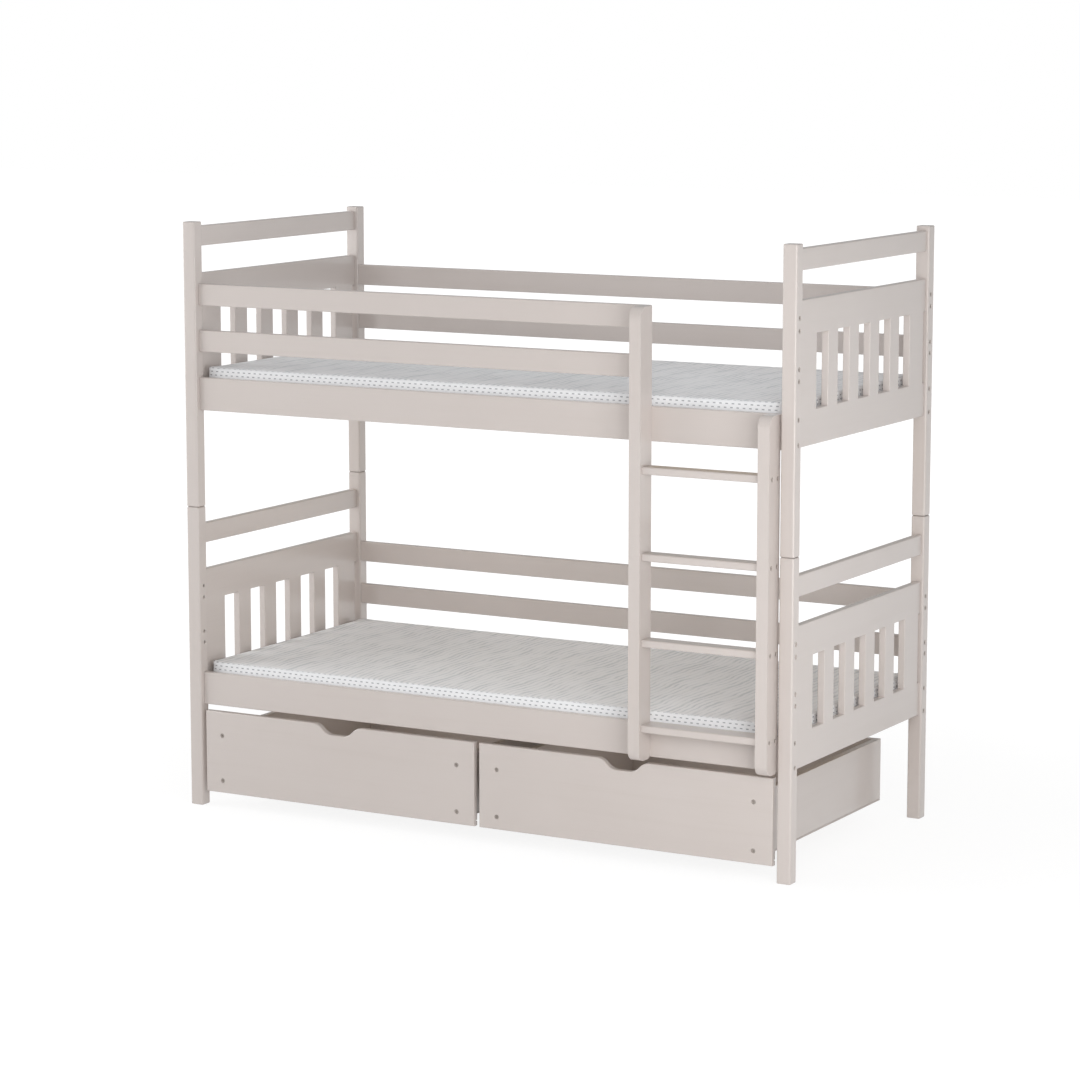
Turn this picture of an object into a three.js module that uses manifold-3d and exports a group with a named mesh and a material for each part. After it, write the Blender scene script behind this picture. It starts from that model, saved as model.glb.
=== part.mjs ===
// A painted pine bunk bed: two single beds stacked on doweled posts, with a ladder and two rolling drawers.
// Millimetres. +X runs along the bed, +Y from the ladder side to the wall side, +Z up.
// The origin is on the floor, in the middle of the whole object's footprint.

import * as THREE from 'three';
import { mergeVertices } from 'three/addons/utils/BufferGeometryUtils.js';
import Module from 'manifold-3d';

const wasm = await Module();
wasm.setup();

// Fits that every piece shares
const SEAT_GAP = 0.3;
const CUT_OVERRUN = 2;
const BOARD_EDGE = 3;
const ROUND_STEPS = 5;
const CIRCLE_STEPS = 20;

// Mattresses
const MATTRESS_LENGTH = 1800;
const MATTRESS_WIDTH = 800;
const MATTRESS_HEIGHT = 80;
const MATTRESS_CORNER = 26;
const MATTRESS_EDGE = 9;
const MATTRESS_END_GAP = 12;
const MATTRESS_SIDE_GAP = 4;

// Posts, split at half height and held by a dowel
const POST_WIDTH = 40;
const POST_DEPTH = 38;
const POST_EDGE = 4;
const POST_END_EDGE = 3;
const LOWER_POST_RISE = 51;
const UPPER_POST_RISE = 13;
const BED_RISE = 836;
const DOWEL_RADIUS = 5;
const DOWEL_LENGTH = 40;
const DOWEL_CLEARANCE = 0.4;
const DOWEL_END_ROOM = 2;

// Side rails with the ledger that carries the slats
const RAIL_SETBACK = 16;
const SIDE_RAIL_THICKNESS = 20;
const SIDE_RAIL_BOTTOM = 291;
const SIDE_RAIL_HEIGHT = 92;
const LEDGER_WIDTH = 22;
const LEDGER_HEIGHT = 20;

// Wall-side rails and the guard rails at the front of the upper bed
const RAIL_THICKNESS = 20;
const RAIL_HEIGHT = 60;
const RAIL_GAP_LOW = 72;
const RAIL_GAP_HIGH = 69;

// Slotted end panels and the rail over them
const PANEL_INSET = 8;
const PANEL_THICKNESS = 20;
const PANEL_BOTTOM = 296;
const PANEL_LOW_BOARD = 92;
const PANEL_HIGH_BOARD = 90;
const SLOT_HEIGHT = 194;
const SLOT_WIDTH = 71;
const SLOT_COUNT = 5;
const SLAT_WIDTH = 60;
const SLAT_TENON = 15;
const PANEL_END_GAP = 11.5;
const TOP_RAIL_GAP = 75;
const TOP_RAIL_HEIGHT = 56;

// Slatted bases, their slats held by two straps
const BASE_SLAT_WIDTH = 70;
const BASE_SLAT_THICKNESS = 16;
const BASE_SLAT_COUNT = 14;
const BASE_END_ROOM = 20;
const BASE_SIDE_ROOM = 4;
const BASE_EDGE = 2;
const STRAP_WIDTH = 25;
const STRAP_THICKNESS = 2;
const STRAP_SINK = 0.5;
const STRAP_INSET = 170;

// Ladder
const LADDER_WIDTH = 402;
const LADDER_POST_GAP = 8;
const STILE_THICKNESS = 33;
const STILE_DEPTH = 64;
const STILE_ROUND = 30;
const STILE_EDGE = 5;
const GUARD_END_COVER = 12;
const RUNG_COUNT = 4;
const RUNG_PITCH = 227;
const RUNG_HEIGHT = 20;
const RUNG_DEPTH = 48;
const RUNG_SETBACK = 10;
const RUNG_EDGE = 4;
const LOWEST_RUNG_RISE = 88;
const LADDER_CLEARANCE = 11.5;

// Drawers
const DRAWER_TOP_CLEARANCE = 15;
const DRAWER_END_GAP = 13;
const DRAWER_MIDDLE_GAP = 16;
const DRAWER_SETBACK = 3;
const DRAWER_DEPTH = 787;
const DRAWER_FRONT_THICKNESS = 20;
const DRAWER_FRONT_DROP = 15.5;
const DRAWER_FRONT_EDGE = 3;
const DRAWER_OVERHANG = 45;
const DRAWER_SIDE_THICKNESS = 18;
const DRAWER_SIDE_HEIGHT = 171;
const DRAWER_SIDE_EDGE = 1.5;
const DRAWER_BOTTOM_THICKNESS = 4;
const DRAWER_GROOVE_DEPTH = 8;
const HANDLE_TOP_WIDTH = 128;
const HANDLE_BOTTOM_WIDTH = 68;
const HANDLE_DEPTH = 28;
const HANDLE_ROUND = 14;

// Wheels and the bearers that carry them under the drawers
const WHEEL_RADIUS = 22;
const WHEEL_WIDTH = 16;
const WHEEL_HUB_RADIUS = 9;
const WHEEL_HUB_PROUD = 1;
const WHEEL_EDGE = 2;
const AXLE_RADIUS = 3;
const AXLE_CLEARANCE = 0.3;
const AXLE_COVER = 12;
const BEARER_WIDTH = 38;
const BEARER_INSET = 130;
const BEARER_FRONT_ROOM = 170;
const BEARER_BACK_ROOM = 30;
const BEARER_EDGE = 2;
const POCKET_END_WALL = 10;
const POCKET_SIDE_ROOM = 1;
const POCKET_END_ROOM = 4;
const WHEEL_HEADROOM = 4;
const POCKET_ROOF = 6;

// Sizes that follow from the ones above
const BED_LENGTH = MATTRESS_LENGTH + 2 * (MATTRESS_END_GAP + PANEL_THICKNESS + PANEL_INSET);
const BED_WIDTH = MATTRESS_WIDTH + 2 * (MATTRESS_SIDE_GAP + SIDE_RAIL_THICKNESS + RAIL_SETBACK);
const SIDE_RAIL_TOP = SIDE_RAIL_BOTTOM + SIDE_RAIL_HEIGHT;
const RAIL_BOTTOM_LOW = SIDE_RAIL_TOP + RAIL_GAP_LOW;
const RAIL_BOTTOM_HIGH = RAIL_BOTTOM_LOW + RAIL_HEIGHT + RAIL_GAP_HIGH;
const RAIL_TOP = RAIL_BOTTOM_HIGH + RAIL_HEIGHT;
const PANEL_HEIGHT = PANEL_LOW_BOARD + SLOT_HEIGHT + PANEL_HIGH_BOARD;
const TOP_RAIL_BOTTOM = PANEL_BOTTOM + PANEL_HEIGHT + TOP_RAIL_GAP;
const TOP_RAIL_TOP = TOP_RAIL_BOTTOM + TOP_RAIL_HEIGHT;
const LOWER_POST_TOP = TOP_RAIL_TOP + LOWER_POST_RISE;
const UPPER_POST_TOP = BED_RISE + TOP_RAIL_TOP + UPPER_POST_RISE;
const FRONT_FACE = -BED_WIDTH / 2;
const POST_CENTRE_X = (BED_LENGTH - POST_WIDTH) / 2;
const POST_CENTRE_Y = (BED_WIDTH - POST_DEPTH) / 2;
const BETWEEN_POSTS_X = BED_LENGTH - 2 * POST_WIDTH;
const BETWEEN_POSTS_Y = BED_WIDTH - 2 * POST_DEPTH;
const SIDE_RAIL_INNER_Y = BED_WIDTH / 2 - RAIL_SETBACK - SIDE_RAIL_THICKNESS;
const BASE_BOTTOM = SIDE_RAIL_BOTTOM + LEDGER_HEIGHT + SEAT_GAP;
const MATTRESS_BOTTOM = BASE_BOTTOM + BASE_SLAT_THICKNESS + SEAT_GAP;
const BEARER_BOTTOM = WHEEL_RADIUS - AXLE_COVER;
const POCKET_TOP = 2 * WHEEL_RADIUS + WHEEL_HEADROOM;
const BEARER_TOP = POCKET_TOP + POCKET_ROOF;
const DRAWER_PANEL_BOTTOM = BEARER_TOP + SEAT_GAP;
const DRAWER_SIDE_BOTTOM = DRAWER_PANEL_BOTTOM + DRAWER_BOTTOM_THICKNESS + SEAT_GAP;
const DRAWER_FRONT_BOTTOM = DRAWER_SIDE_BOTTOM - DRAWER_FRONT_DROP;
const DRAWER_FRONT_TOP = SIDE_RAIL_BOTTOM - DRAWER_TOP_CLEARANCE;
const DRAWER_FRONT_WIDTH = (BETWEEN_POSTS_X - DRAWER_MIDDLE_GAP) / 2 - DRAWER_END_GAP;
const DRAWER_BOX_WIDTH = DRAWER_FRONT_WIDTH - 2 * DRAWER_OVERHANG;
const LADDER_BOTTOM = DRAWER_FRONT_TOP + LADDER_CLEARANCE;
const LADDER_RIGHT_X = BETWEEN_POSTS_X / 2 - LADDER_POST_GAP;
const LADDER_LEFT_X = LADDER_RIGHT_X - LADDER_WIDTH;
const LADDER_BACK_Y = FRONT_FACE + RAIL_SETBACK - SEAT_GAP;
const LADDER_REACH = STILE_DEPTH + SEAT_GAP - RAIL_SETBACK;

// Finishes
const paintedPine = new THREE.MeshStandardMaterial({ color: 0xd1c8c3, roughness: 0.5, metalness: 0 });
const barePine = new THREE.MeshStandardMaterial({ color: 0xd9bf93, roughness: 0.7, metalness: 0 });
const mattressCover = new THREE.MeshStandardMaterial({ color: 0xdcdcdc, roughness: 0.95, metalness: 0 });
const drawerPanel = new THREE.MeshStandardMaterial({ color: 0xcfc6c0, roughness: 0.6, metalness: 0 });
const wheelPlastic = new THREE.MeshStandardMaterial({ color: 0x3a3a3c, roughness: 0.5, metalness: 0 });

// Turns a flat geometry drawn in XY, with its thickness along Z, to stand in the XZ plane or in the YZ plane
const toFront = new THREE.Matrix4().makeBasis(
  new THREE.Vector3(-1, 0, 0), new THREE.Vector3(0, 0, 1), new THREE.Vector3(0, 1, 0));
const toEnd = new THREE.Matrix4().makeBasis(
  new THREE.Vector3(0, 1, 0), new THREE.Vector3(0, 0, 1), new THREE.Vector3(1, 0, 0));

const toPoints = (pairs) => pairs.map(([x, y]) => new THREE.Vector2(x, y));

function rectangle(width, height) {
  const x = width / 2;
  const y = height / 2;
  return new THREE.Shape(toPoints([[-x, -y], [x, -y], [x, y], [-x, y]]));
}

// A rectangle whose corners are cut at 45 degrees
function cutRectangle(width, height, cut) {
  const x = width / 2;
  const y = height / 2;
  return new THREE.Shape(toPoints([
    [x - cut, -y], [x, cut - y], [x, y - cut], [x - cut, y],
    [cut - x, y], [-x, y - cut], [-x, cut - y], [cut - x, -y],
  ]));
}

// A shape given thickness about its middle plane, with the edges of both faces cut at 45 degrees
function plate(shape, thickness, edge) {
  const geometry = new THREE.ExtrudeGeometry(shape, {
    depth: thickness - 2 * edge,
    bevelEnabled: edge > 0,
    bevelThickness: edge,
    bevelSize: edge,
    bevelOffset: -edge,
    bevelSegments: 1,
    curveSegments: ROUND_STEPS,
  });
  return geometry.translate(0, 0, edge - thickness / 2);
}

function bar(width, height, thickness, edge) {
  return plate(rectangle(width, height), thickness, edge);
}

// Changes a closed geometry into a solid for joining and cutting
function solid(geometry) {
  const bare = geometry.clone();
  bare.deleteAttribute('normal');
  bare.deleteAttribute('uv');
  const merged = mergeVertices(bare);
  return new wasm.Manifold(new wasm.Mesh({
    numProp: 3,
    vertProperties: new Float32Array(merged.attributes.position.array),
    triVerts: new Uint32Array(merged.index.array),
  }));
}

function fromSolid(body) {
  const mesh = body.getMesh();
  const geometry = new THREE.BufferGeometry();
  geometry.setAttribute('position', new THREE.BufferAttribute(new Float32Array(mesh.vertProperties), 3));
  geometry.setIndex(new THREE.BufferAttribute(new Uint32Array(mesh.triVerts), 1));
  geometry.computeVertexNormals();
  return geometry;
}

function piece(name, geometry, material, x, y, z) {
  const mesh = new THREE.Mesh(geometry, material);
  mesh.name = name;
  mesh.position.set(x, y, z);
  return mesh;
}

const ends = [['left', -1], ['right', 1]];
const sides = [['front', -1], ['back', 1]];

// A lower post carries the glued-in dowel, and an upper post has the socket that drops over it
function postGeometry(height, isLower) {
  const body = solid(plate(cutRectangle(POST_WIDTH, POST_DEPTH, POST_EDGE), height, POST_END_EDGE));
  const radius = isLower ? DOWEL_RADIUS : DOWEL_RADIUS + DOWEL_CLEARANCE;
  const reach = CUT_OVERRUN + DOWEL_LENGTH + (isLower ? 0 : DOWEL_END_ROOM);
  const rod = solid(new THREE.CylinderGeometry(radius, radius, reach, CIRCLE_STEPS).rotateX(Math.PI / 2));
  if (isLower) {
    return fromSolid(body.add(rod.translate(0, 0, (height + reach) / 2 - CUT_OVERRUN)));
  }
  return fromSolid(body.subtract(rod.translate(0, 0, (reach - height) / 2 - CUT_OVERRUN)));
}

function posts(level) {
  const isLower = level === 'lower';
  const bottom = isLower ? 0 : LOWER_POST_TOP + SEAT_GAP;
  const top = isLower ? LOWER_POST_TOP : UPPER_POST_TOP;
  const geometry = postGeometry(top - bottom, isLower);
  return sides.flatMap(([side, back]) => ends.map(([end, right]) => piece(
    `${level}_post_${side}_${end}`, geometry, paintedPine,
    right * POST_CENTRE_X, back * POST_CENTRE_Y, (bottom + top) / 2)));
}

// Two boards joined by slats: narrow slats between the slots and a wide one at each end, short of the post
function endPanelGeometry(length) {
  const pitch = SLOT_WIDTH + SLAT_WIDTH;
  const slotsSpan = SLOT_COUNT * pitch - SLAT_WIDTH;
  const wideSlat = (length - slotsSpan) / 2 - PANEL_END_GAP;
  const slat = (width) => solid(bar(width, SLOT_HEIGHT + 2 * SLAT_TENON, PANEL_THICKNESS, BOARD_EDGE));
  const slatY = PANEL_LOW_BOARD + (SLOT_HEIGHT - PANEL_HEIGHT) / 2;
  const lowBoard = solid(bar(length, PANEL_LOW_BOARD, PANEL_THICKNESS, BOARD_EDGE));
  const highBoard = solid(bar(length, PANEL_HIGH_BOARD, PANEL_THICKNESS, BOARD_EDGE));
  let panel = lowBoard.translate(0, (PANEL_LOW_BOARD - PANEL_HEIGHT) / 2, 0);
  panel = panel.add(highBoard.translate(0, (PANEL_HEIGHT - PANEL_HIGH_BOARD) / 2, 0));
  for (const side of [-1, 1]) {
    panel = panel.add(slat(wideSlat).translate(side * (slotsSpan + wideSlat) / 2, slatY, 0));
  }
  for (let n = 1; n < SLOT_COUNT; n += 1) {
    panel = panel.add(slat(SLAT_WIDTH).translate((n - SLOT_COUNT / 2) * pitch, slatY, 0));
  }
  return fromSolid(panel);
}

function bedEnds(level) {
  const length = BETWEEN_POSTS_Y - 2 * SEAT_GAP;
  const centreX = BED_LENGTH / 2 - PANEL_INSET - PANEL_THICKNESS / 2;
  const panelZ = PANEL_BOTTOM + PANEL_HEIGHT / 2;
  const railZ = (TOP_RAIL_BOTTOM + TOP_RAIL_TOP) / 2;
  const panel = endPanelGeometry(length).applyMatrix4(toEnd);
  const rail = bar(length, TOP_RAIL_HEIGHT, PANEL_THICKNESS, BOARD_EDGE).applyMatrix4(toEnd);
  return ends.flatMap(([end, right]) => [
    piece(`${level}_end_panel_${end}`, panel, paintedPine, right * centreX, 0, panelZ),
    piece(`${level}_end_top_rail_${end}`, rail, paintedPine, right * centreX, 0, railZ),
  ]);
}

// The section of a side rail and its ledger, drawn with the inner face towards +Y and the bottom at zero
function sideRailShape() {
  const cut = BOARD_EDGE;
  const inner = SIDE_RAIL_THICKNESS;
  const ledge = inner + LEDGER_WIDTH;
  return new THREE.Shape(toPoints([
    [cut, 0], [ledge, 0], [ledge, LEDGER_HEIGHT], [inner, LEDGER_HEIGHT], [inner, SIDE_RAIL_HEIGHT - cut],
    [inner - cut, SIDE_RAIL_HEIGHT], [cut, SIDE_RAIL_HEIGHT], [0, SIDE_RAIL_HEIGHT - cut], [0, cut],
  ]));
}

function sideRails(level) {
  const geometry = plate(sideRailShape(), BETWEEN_POSTS_X - 2 * SEAT_GAP, 0).applyMatrix4(toEnd);
  const y = BED_WIDTH / 2 - RAIL_SETBACK;
  return sides.map(([side, back]) => {
    const rail = piece(`${level}_side_rail_${side}`, geometry, paintedPine, 0, back * y, SIDE_RAIL_BOTTOM);
    rail.rotation.z = back > 0 ? Math.PI : 0;
    return rail;
  });
}

// Two rails one over the other, between two places along the bed
function railPair(name, start, end, y) {
  const geometry = bar(end - start, RAIL_HEIGHT, RAIL_THICKNESS, BOARD_EDGE).applyMatrix4(toFront);
  return [['low', RAIL_BOTTOM_LOW], ['high', RAIL_BOTTOM_HIGH]].map(([place, bottom]) => piece(
    `${name}_${place}`, geometry, paintedPine, (start + end) / 2, y, bottom + RAIL_HEIGHT / 2));
}

function backRails(level) {
  const end = BETWEEN_POSTS_X / 2 - SEAT_GAP;
  return railPair(`${level}_back_rail`, -end, end, BED_WIDTH / 2 - RAIL_SETBACK - RAIL_THICKNESS / 2);
}

// The guard rails run from the left post to behind the ladder's left stile
function guardRails() {
  const start = SEAT_GAP - BETWEEN_POSTS_X / 2;
  const end = LADDER_LEFT_X + STILE_THICKNESS - GUARD_END_COVER;
  return railPair('guard_rail', start, end, FRONT_FACE + RAIL_SETBACK + RAIL_THICKNESS / 2);
}

// Slats across the bed, stapled to two straps that run along under them
function slattedBase(level) {
  const reach = BED_LENGTH / 2 - PANEL_INSET - PANEL_THICKNESS - BASE_END_ROOM - BASE_SLAT_WIDTH / 2;
  const slatLength = 2 * (SIDE_RAIL_INNER_Y - BASE_SIDE_ROOM);
  const slat = solid(bar(BASE_SLAT_WIDTH, slatLength, BASE_SLAT_THICKNESS, BASE_EDGE));
  const strapLength = 2 * reach + BASE_SLAT_WIDTH - 2 * BASE_EDGE;
  const strapZ = STRAP_SINK - (BASE_SLAT_THICKNESS + STRAP_THICKNESS) / 2;
  const strap = solid(new THREE.BoxGeometry(strapLength, STRAP_WIDTH, STRAP_THICKNESS));
  let base = strap.translate(0, STRAP_INSET - slatLength / 2, strapZ);
  base = base.add(strap.translate(0, slatLength / 2 - STRAP_INSET, strapZ));
  for (let n = 0; n < BASE_SLAT_COUNT; n += 1) {
    base = base.add(slat.translate(reach * (2 * n / (BASE_SLAT_COUNT - 1) - 1), 0, 0));
  }
  const z = BASE_BOTTOM + BASE_SLAT_THICKNESS / 2;
  return piece(`${level}_slatted_base`, fromSolid(base), barePine, 0, 0, z);
}

function mattress(level) {
  const x = MATTRESS_LENGTH / 2;
  const y = MATTRESS_WIDTH / 2;
  const r = MATTRESS_CORNER;
  const shape = new THREE.Shape();
  shape.absarc(x - r, y - r, r, 0, Math.PI / 2, false);
  shape.absarc(r - x, y - r, r, Math.PI / 2, Math.PI, false);
  shape.absarc(r - x, r - y, r, Math.PI, 1.5 * Math.PI, false);
  shape.absarc(x - r, r - y, r, 1.5 * Math.PI, 2 * Math.PI, false);
  const pad = plate(shape, MATTRESS_HEIGHT, MATTRESS_EDGE);
  return piece(`${level}_mattress`, pad, mattressCover, 0, 0, MATTRESS_BOTTOM + MATTRESS_HEIGHT / 2);
}

function singleBed(level) {
  const boards = new THREE.Group();
  boards.position.z = level === 'lower' ? 0 : BED_RISE;
  boards.add(...bedEnds(level), ...sideRails(level), ...backRails(level));
  boards.add(slattedBase(level), mattress(level));
  if (level === 'upper') {
    boards.add(...guardRails());
  }
  const bed = new THREE.Group();
  bed.add(boards, ...posts(level));
  return bed;
}

// A stile seen from its side: front at -Y, square only where its back meets the rail at the top
function stileGeometry(height) {
  const y = STILE_DEPTH / 2;
  const z = height / 2;
  const r = Math.min(STILE_ROUND, y);
  const shape = new THREE.Shape();
  shape.moveTo(y, z);
  shape.lineTo(r - y, z);
  shape.absarc(r - y, z - r, r, Math.PI / 2, Math.PI, false);
  shape.absarc(r - y, r - z, r, Math.PI, 1.5 * Math.PI, false);
  shape.absarc(y - r, r - z, r, 1.5 * Math.PI, 2 * Math.PI, false);
  return plate(shape, STILE_THICKNESS, STILE_EDGE).applyMatrix4(toEnd);
}

function stile(end, x, top) {
  const y = LADDER_BACK_Y - STILE_DEPTH / 2;
  const geometry = stileGeometry(top - LADDER_BOTTOM);
  return piece(`ladder_stile_${end}`, geometry, paintedPine, x, y, (top + LADDER_BOTTOM) / 2);
}

function rungs() {
  const length = LADDER_WIDTH - 2 * (STILE_THICKNESS + SEAT_GAP);
  const geometry = plate(cutRectangle(RUNG_DEPTH, RUNG_HEIGHT, RUNG_EDGE), length, 0).applyMatrix4(toEnd);
  const x = (LADDER_LEFT_X + LADDER_RIGHT_X) / 2;
  const y = LADDER_BACK_Y - STILE_DEPTH + RUNG_SETBACK + RUNG_DEPTH / 2;
  const lowest = LADDER_BOTTOM + LOWEST_RUNG_RISE;
  return Array.from({ length: RUNG_COUNT }, (_, n) => piece(
    `ladder_rung_${n + 1}`, geometry, paintedPine, x, y, lowest + n * RUNG_PITCH));
}

// The left stile ends with the guard rails, and the right one with the upper side rail
function ladder() {
  const group = new THREE.Group();
  group.add(stile('left', LADDER_LEFT_X + STILE_THICKNESS / 2, BED_RISE + RAIL_TOP));
  group.add(stile('right', LADDER_RIGHT_X - STILE_THICKNESS / 2, BED_RISE + SIDE_RAIL_TOP));
  group.add(...rungs());
  return group;
}

// The drawer front's outline, with the hand hold cut in its top edge
function drawerFrontShape() {
  const x = DRAWER_FRONT_WIDTH / 2;
  const y = (DRAWER_FRONT_TOP - DRAWER_FRONT_BOTTOM) / 2;
  const floor = y - HANDLE_DEPTH;
  const high = HANDLE_TOP_WIDTH / 2;
  const low = HANDLE_BOTTOM_WIDTH / 2;
  const slope = Math.hypot(high - low, HANDLE_DEPTH);
  const r = Math.min(HANDLE_ROUND, low, slope / 2);
  const alongX = r * (high - low) / slope;
  const alongY = r * HANDLE_DEPTH / slope;
  const shape = new THREE.Shape();
  shape.moveTo(-x, -y);
  shape.lineTo(x, -y);
  shape.lineTo(x, y);
  shape.lineTo(high + r, y);
  shape.quadraticCurveTo(high, y, high - alongX, y - alongY);
  shape.lineTo(low + alongX, floor + alongY);
  shape.quadraticCurveTo(low, floor, low - r, floor);
  shape.lineTo(r - low, floor);
  shape.quadraticCurveTo(-low, floor, -low - alongX, floor + alongY);
  shape.lineTo(alongX - high, y - alongY);
  shape.quadraticCurveTo(-high, y, -high - r, y);
  shape.lineTo(-x, y);
  return shape;
}

// A groove along the front's inner face takes the bottom panel's edge
function drawerFrontGeometry() {
  const blank = plate(drawerFrontShape(), DRAWER_FRONT_THICKNESS, DRAWER_FRONT_EDGE).applyMatrix4(toFront);
  const height = DRAWER_BOTTOM_THICKNESS + 2 * SEAT_GAP;
  const depth = DRAWER_GROOVE_DEPTH + CUT_OVERRUN;
  const y = (DRAWER_FRONT_THICKNESS + depth) / 2 - DRAWER_GROOVE_DEPTH;
  const z = DRAWER_PANEL_BOTTOM + (DRAWER_BOTTOM_THICKNESS - DRAWER_FRONT_TOP - DRAWER_FRONT_BOTTOM) / 2;
  const groove = solid(new THREE.BoxGeometry(DRAWER_FRONT_WIDTH + 2 * CUT_OVERRUN, depth, height));
  return fromSolid(solid(blank).subtract(groove.translate(0, y, z)));
}

// A bearer under the drawer, drawn about its own middle, with a wheel pocket and an axle pin near each end
function bearerGeometry(length, axleY) {
  const middle = (BEARER_TOP + BEARER_BOTTOM) / 2;
  const width = WHEEL_WIDTH + 2 * (WHEEL_HUB_PROUD + POCKET_SIDE_ROOM);
  const height = POCKET_TOP - BEARER_BOTTOM + CUT_OVERRUN;
  const reach = width + 2 * CUT_OVERRUN;
  const pocket = solid(new THREE.BoxGeometry(width, 2 * (WHEEL_RADIUS + POCKET_END_ROOM), height));
  const rod = new THREE.CylinderGeometry(AXLE_RADIUS, AXLE_RADIUS, reach, CIRCLE_STEPS);
  const pin = solid(rod.rotateZ(Math.PI / 2));
  let body = solid(bar(BEARER_WIDTH, length, BEARER_TOP - BEARER_BOTTOM, BEARER_EDGE));
  for (const y of [-axleY, axleY]) {
    body = body.subtract(pocket.translate(0, y, POCKET_TOP - height / 2 - middle));
    body = body.add(pin.translate(0, y, WHEEL_RADIUS - middle));
  }
  return fromSolid(body);
}

function wheelGeometry() {
  const bore = AXLE_RADIUS + AXLE_CLEARANCE;
  const half = WHEEL_WIDTH / 2;
  const hub = half + WHEEL_HUB_PROUD;
  const outline = toPoints([
    [bore, -hub], [WHEEL_HUB_RADIUS, -hub], [WHEEL_HUB_RADIUS, -half], [WHEEL_RADIUS - WHEEL_EDGE, -half],
    [WHEEL_RADIUS, WHEEL_EDGE - half], [WHEEL_RADIUS, half - WHEEL_EDGE], [WHEEL_RADIUS - WHEEL_EDGE, half],
    [WHEEL_HUB_RADIUS, half], [WHEEL_HUB_RADIUS, hub], [bore, hub], [bore, -hub],
  ]);
  return new THREE.LatheGeometry(outline, CIRCLE_STEPS).rotateZ(-Math.PI / 2);
}

// The box behind a drawer's front, drawn from the front's outer face backwards
function drawerBox(name) {
  const start = DRAWER_FRONT_THICKNESS + SEAT_GAP;
  const length = DRAWER_DEPTH - start;
  const backLength = DRAWER_BOX_WIDTH - 2 * (DRAWER_SIDE_THICKNESS + SEAT_GAP);
  const panelStart = DRAWER_FRONT_THICKNESS - DRAWER_GROOVE_DEPTH + SEAT_GAP;
  const panelLength = DRAWER_DEPTH - panelStart;
  const sideX = (DRAWER_BOX_WIDTH - DRAWER_SIDE_THICKNESS) / 2;
  const boardZ = DRAWER_SIDE_BOTTOM + DRAWER_SIDE_HEIGHT / 2;
  const panelZ = DRAWER_PANEL_BOTTOM + DRAWER_BOTTOM_THICKNESS / 2;
  const board = (span) => bar(span, DRAWER_SIDE_HEIGHT, DRAWER_SIDE_THICKNESS, DRAWER_SIDE_EDGE);
  const side = board(length).applyMatrix4(toEnd);
  const back = board(backLength).applyMatrix4(toFront);
  const panel = new THREE.BoxGeometry(DRAWER_BOX_WIDTH, panelLength, DRAWER_BOTTOM_THICKNESS);
  const backY = DRAWER_DEPTH - DRAWER_SIDE_THICKNESS / 2;
  return [
    piece(`${name}_bottom`, panel, drawerPanel, 0, panelStart + panelLength / 2, panelZ),
    piece(`${name}_back`, back, paintedPine, 0, backY, boardZ),
    ...ends.map(([hand, right]) => piece(
      `${name}_side_${hand}`, side, paintedPine, right * sideX, start + length / 2, boardZ)),
  ];
}

function drawerRunningGear(name) {
  const length = DRAWER_DEPTH - BEARER_FRONT_ROOM - BEARER_BACK_ROOM;
  const centreY = BEARER_FRONT_ROOM + length / 2;
  const axleY = length / 2 - POCKET_END_WALL - POCKET_END_ROOM - WHEEL_RADIUS;
  const x = DRAWER_BOX_WIDTH / 2 - BEARER_INSET;
  const z = (BEARER_TOP + BEARER_BOTTOM) / 2;
  const bearer = bearerGeometry(length, axleY);
  const wheel = wheelGeometry();
  const wheelAt = (place, hand, wheelX, wheelY) => piece(
    `${name}_wheel_${place}_${hand}`, wheel, wheelPlastic, wheelX, wheelY, WHEEL_RADIUS);
  return ends.flatMap(([hand, right]) => [
    piece(`${name}_bearer_${hand}`, bearer, barePine, right * x, centreY, z),
    ...sides.map(([place, back]) => wheelAt(place, hand, right * x, centreY + back * axleY)),
  ]);
}

function drawer(end, centreX) {
  const group = new THREE.Group();
  const name = `drawer_${end}`;
  const y = DRAWER_FRONT_THICKNESS / 2;
  const z = (DRAWER_FRONT_TOP + DRAWER_FRONT_BOTTOM) / 2;
  group.position.set(centreX, FRONT_FACE + DRAWER_SETBACK, 0);
  group.add(piece(`${name}_front`, drawerFrontGeometry(), paintedPine, 0, y, z));
  group.add(...drawerBox(name), ...drawerRunningGear(name));
  return group;
}

const bunkBed = new THREE.Group();
const drawerCentre = (DRAWER_FRONT_WIDTH + DRAWER_MIDDLE_GAP) / 2;
bunkBed.position.y = LADDER_REACH / 2;
bunkBed.add(singleBed('lower'), singleBed('upper'), ladder());
bunkBed.add(drawer('left', -drawerCentre), drawer('right', drawerCentre));

export default bunkBed;
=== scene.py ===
"""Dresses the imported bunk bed: painted boards with screws, padded mattresses, rolling drawers and a studio.

Every wooden piece is modelled again with the rounded edges, bores and grooves that the plain solids leave
out, and stands exactly where its solid does. Lengths are in metres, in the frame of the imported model.
"""

import logging
import math
from collections.abc import Callable, Iterable
from dataclasses import dataclass
from enum import Enum

import bmesh
import bpy
from bmesh.types import BMEdge
from bpy.types import Material, NodeSocket, NodeTree, Object
from mathutils import Matrix, Vector

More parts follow.
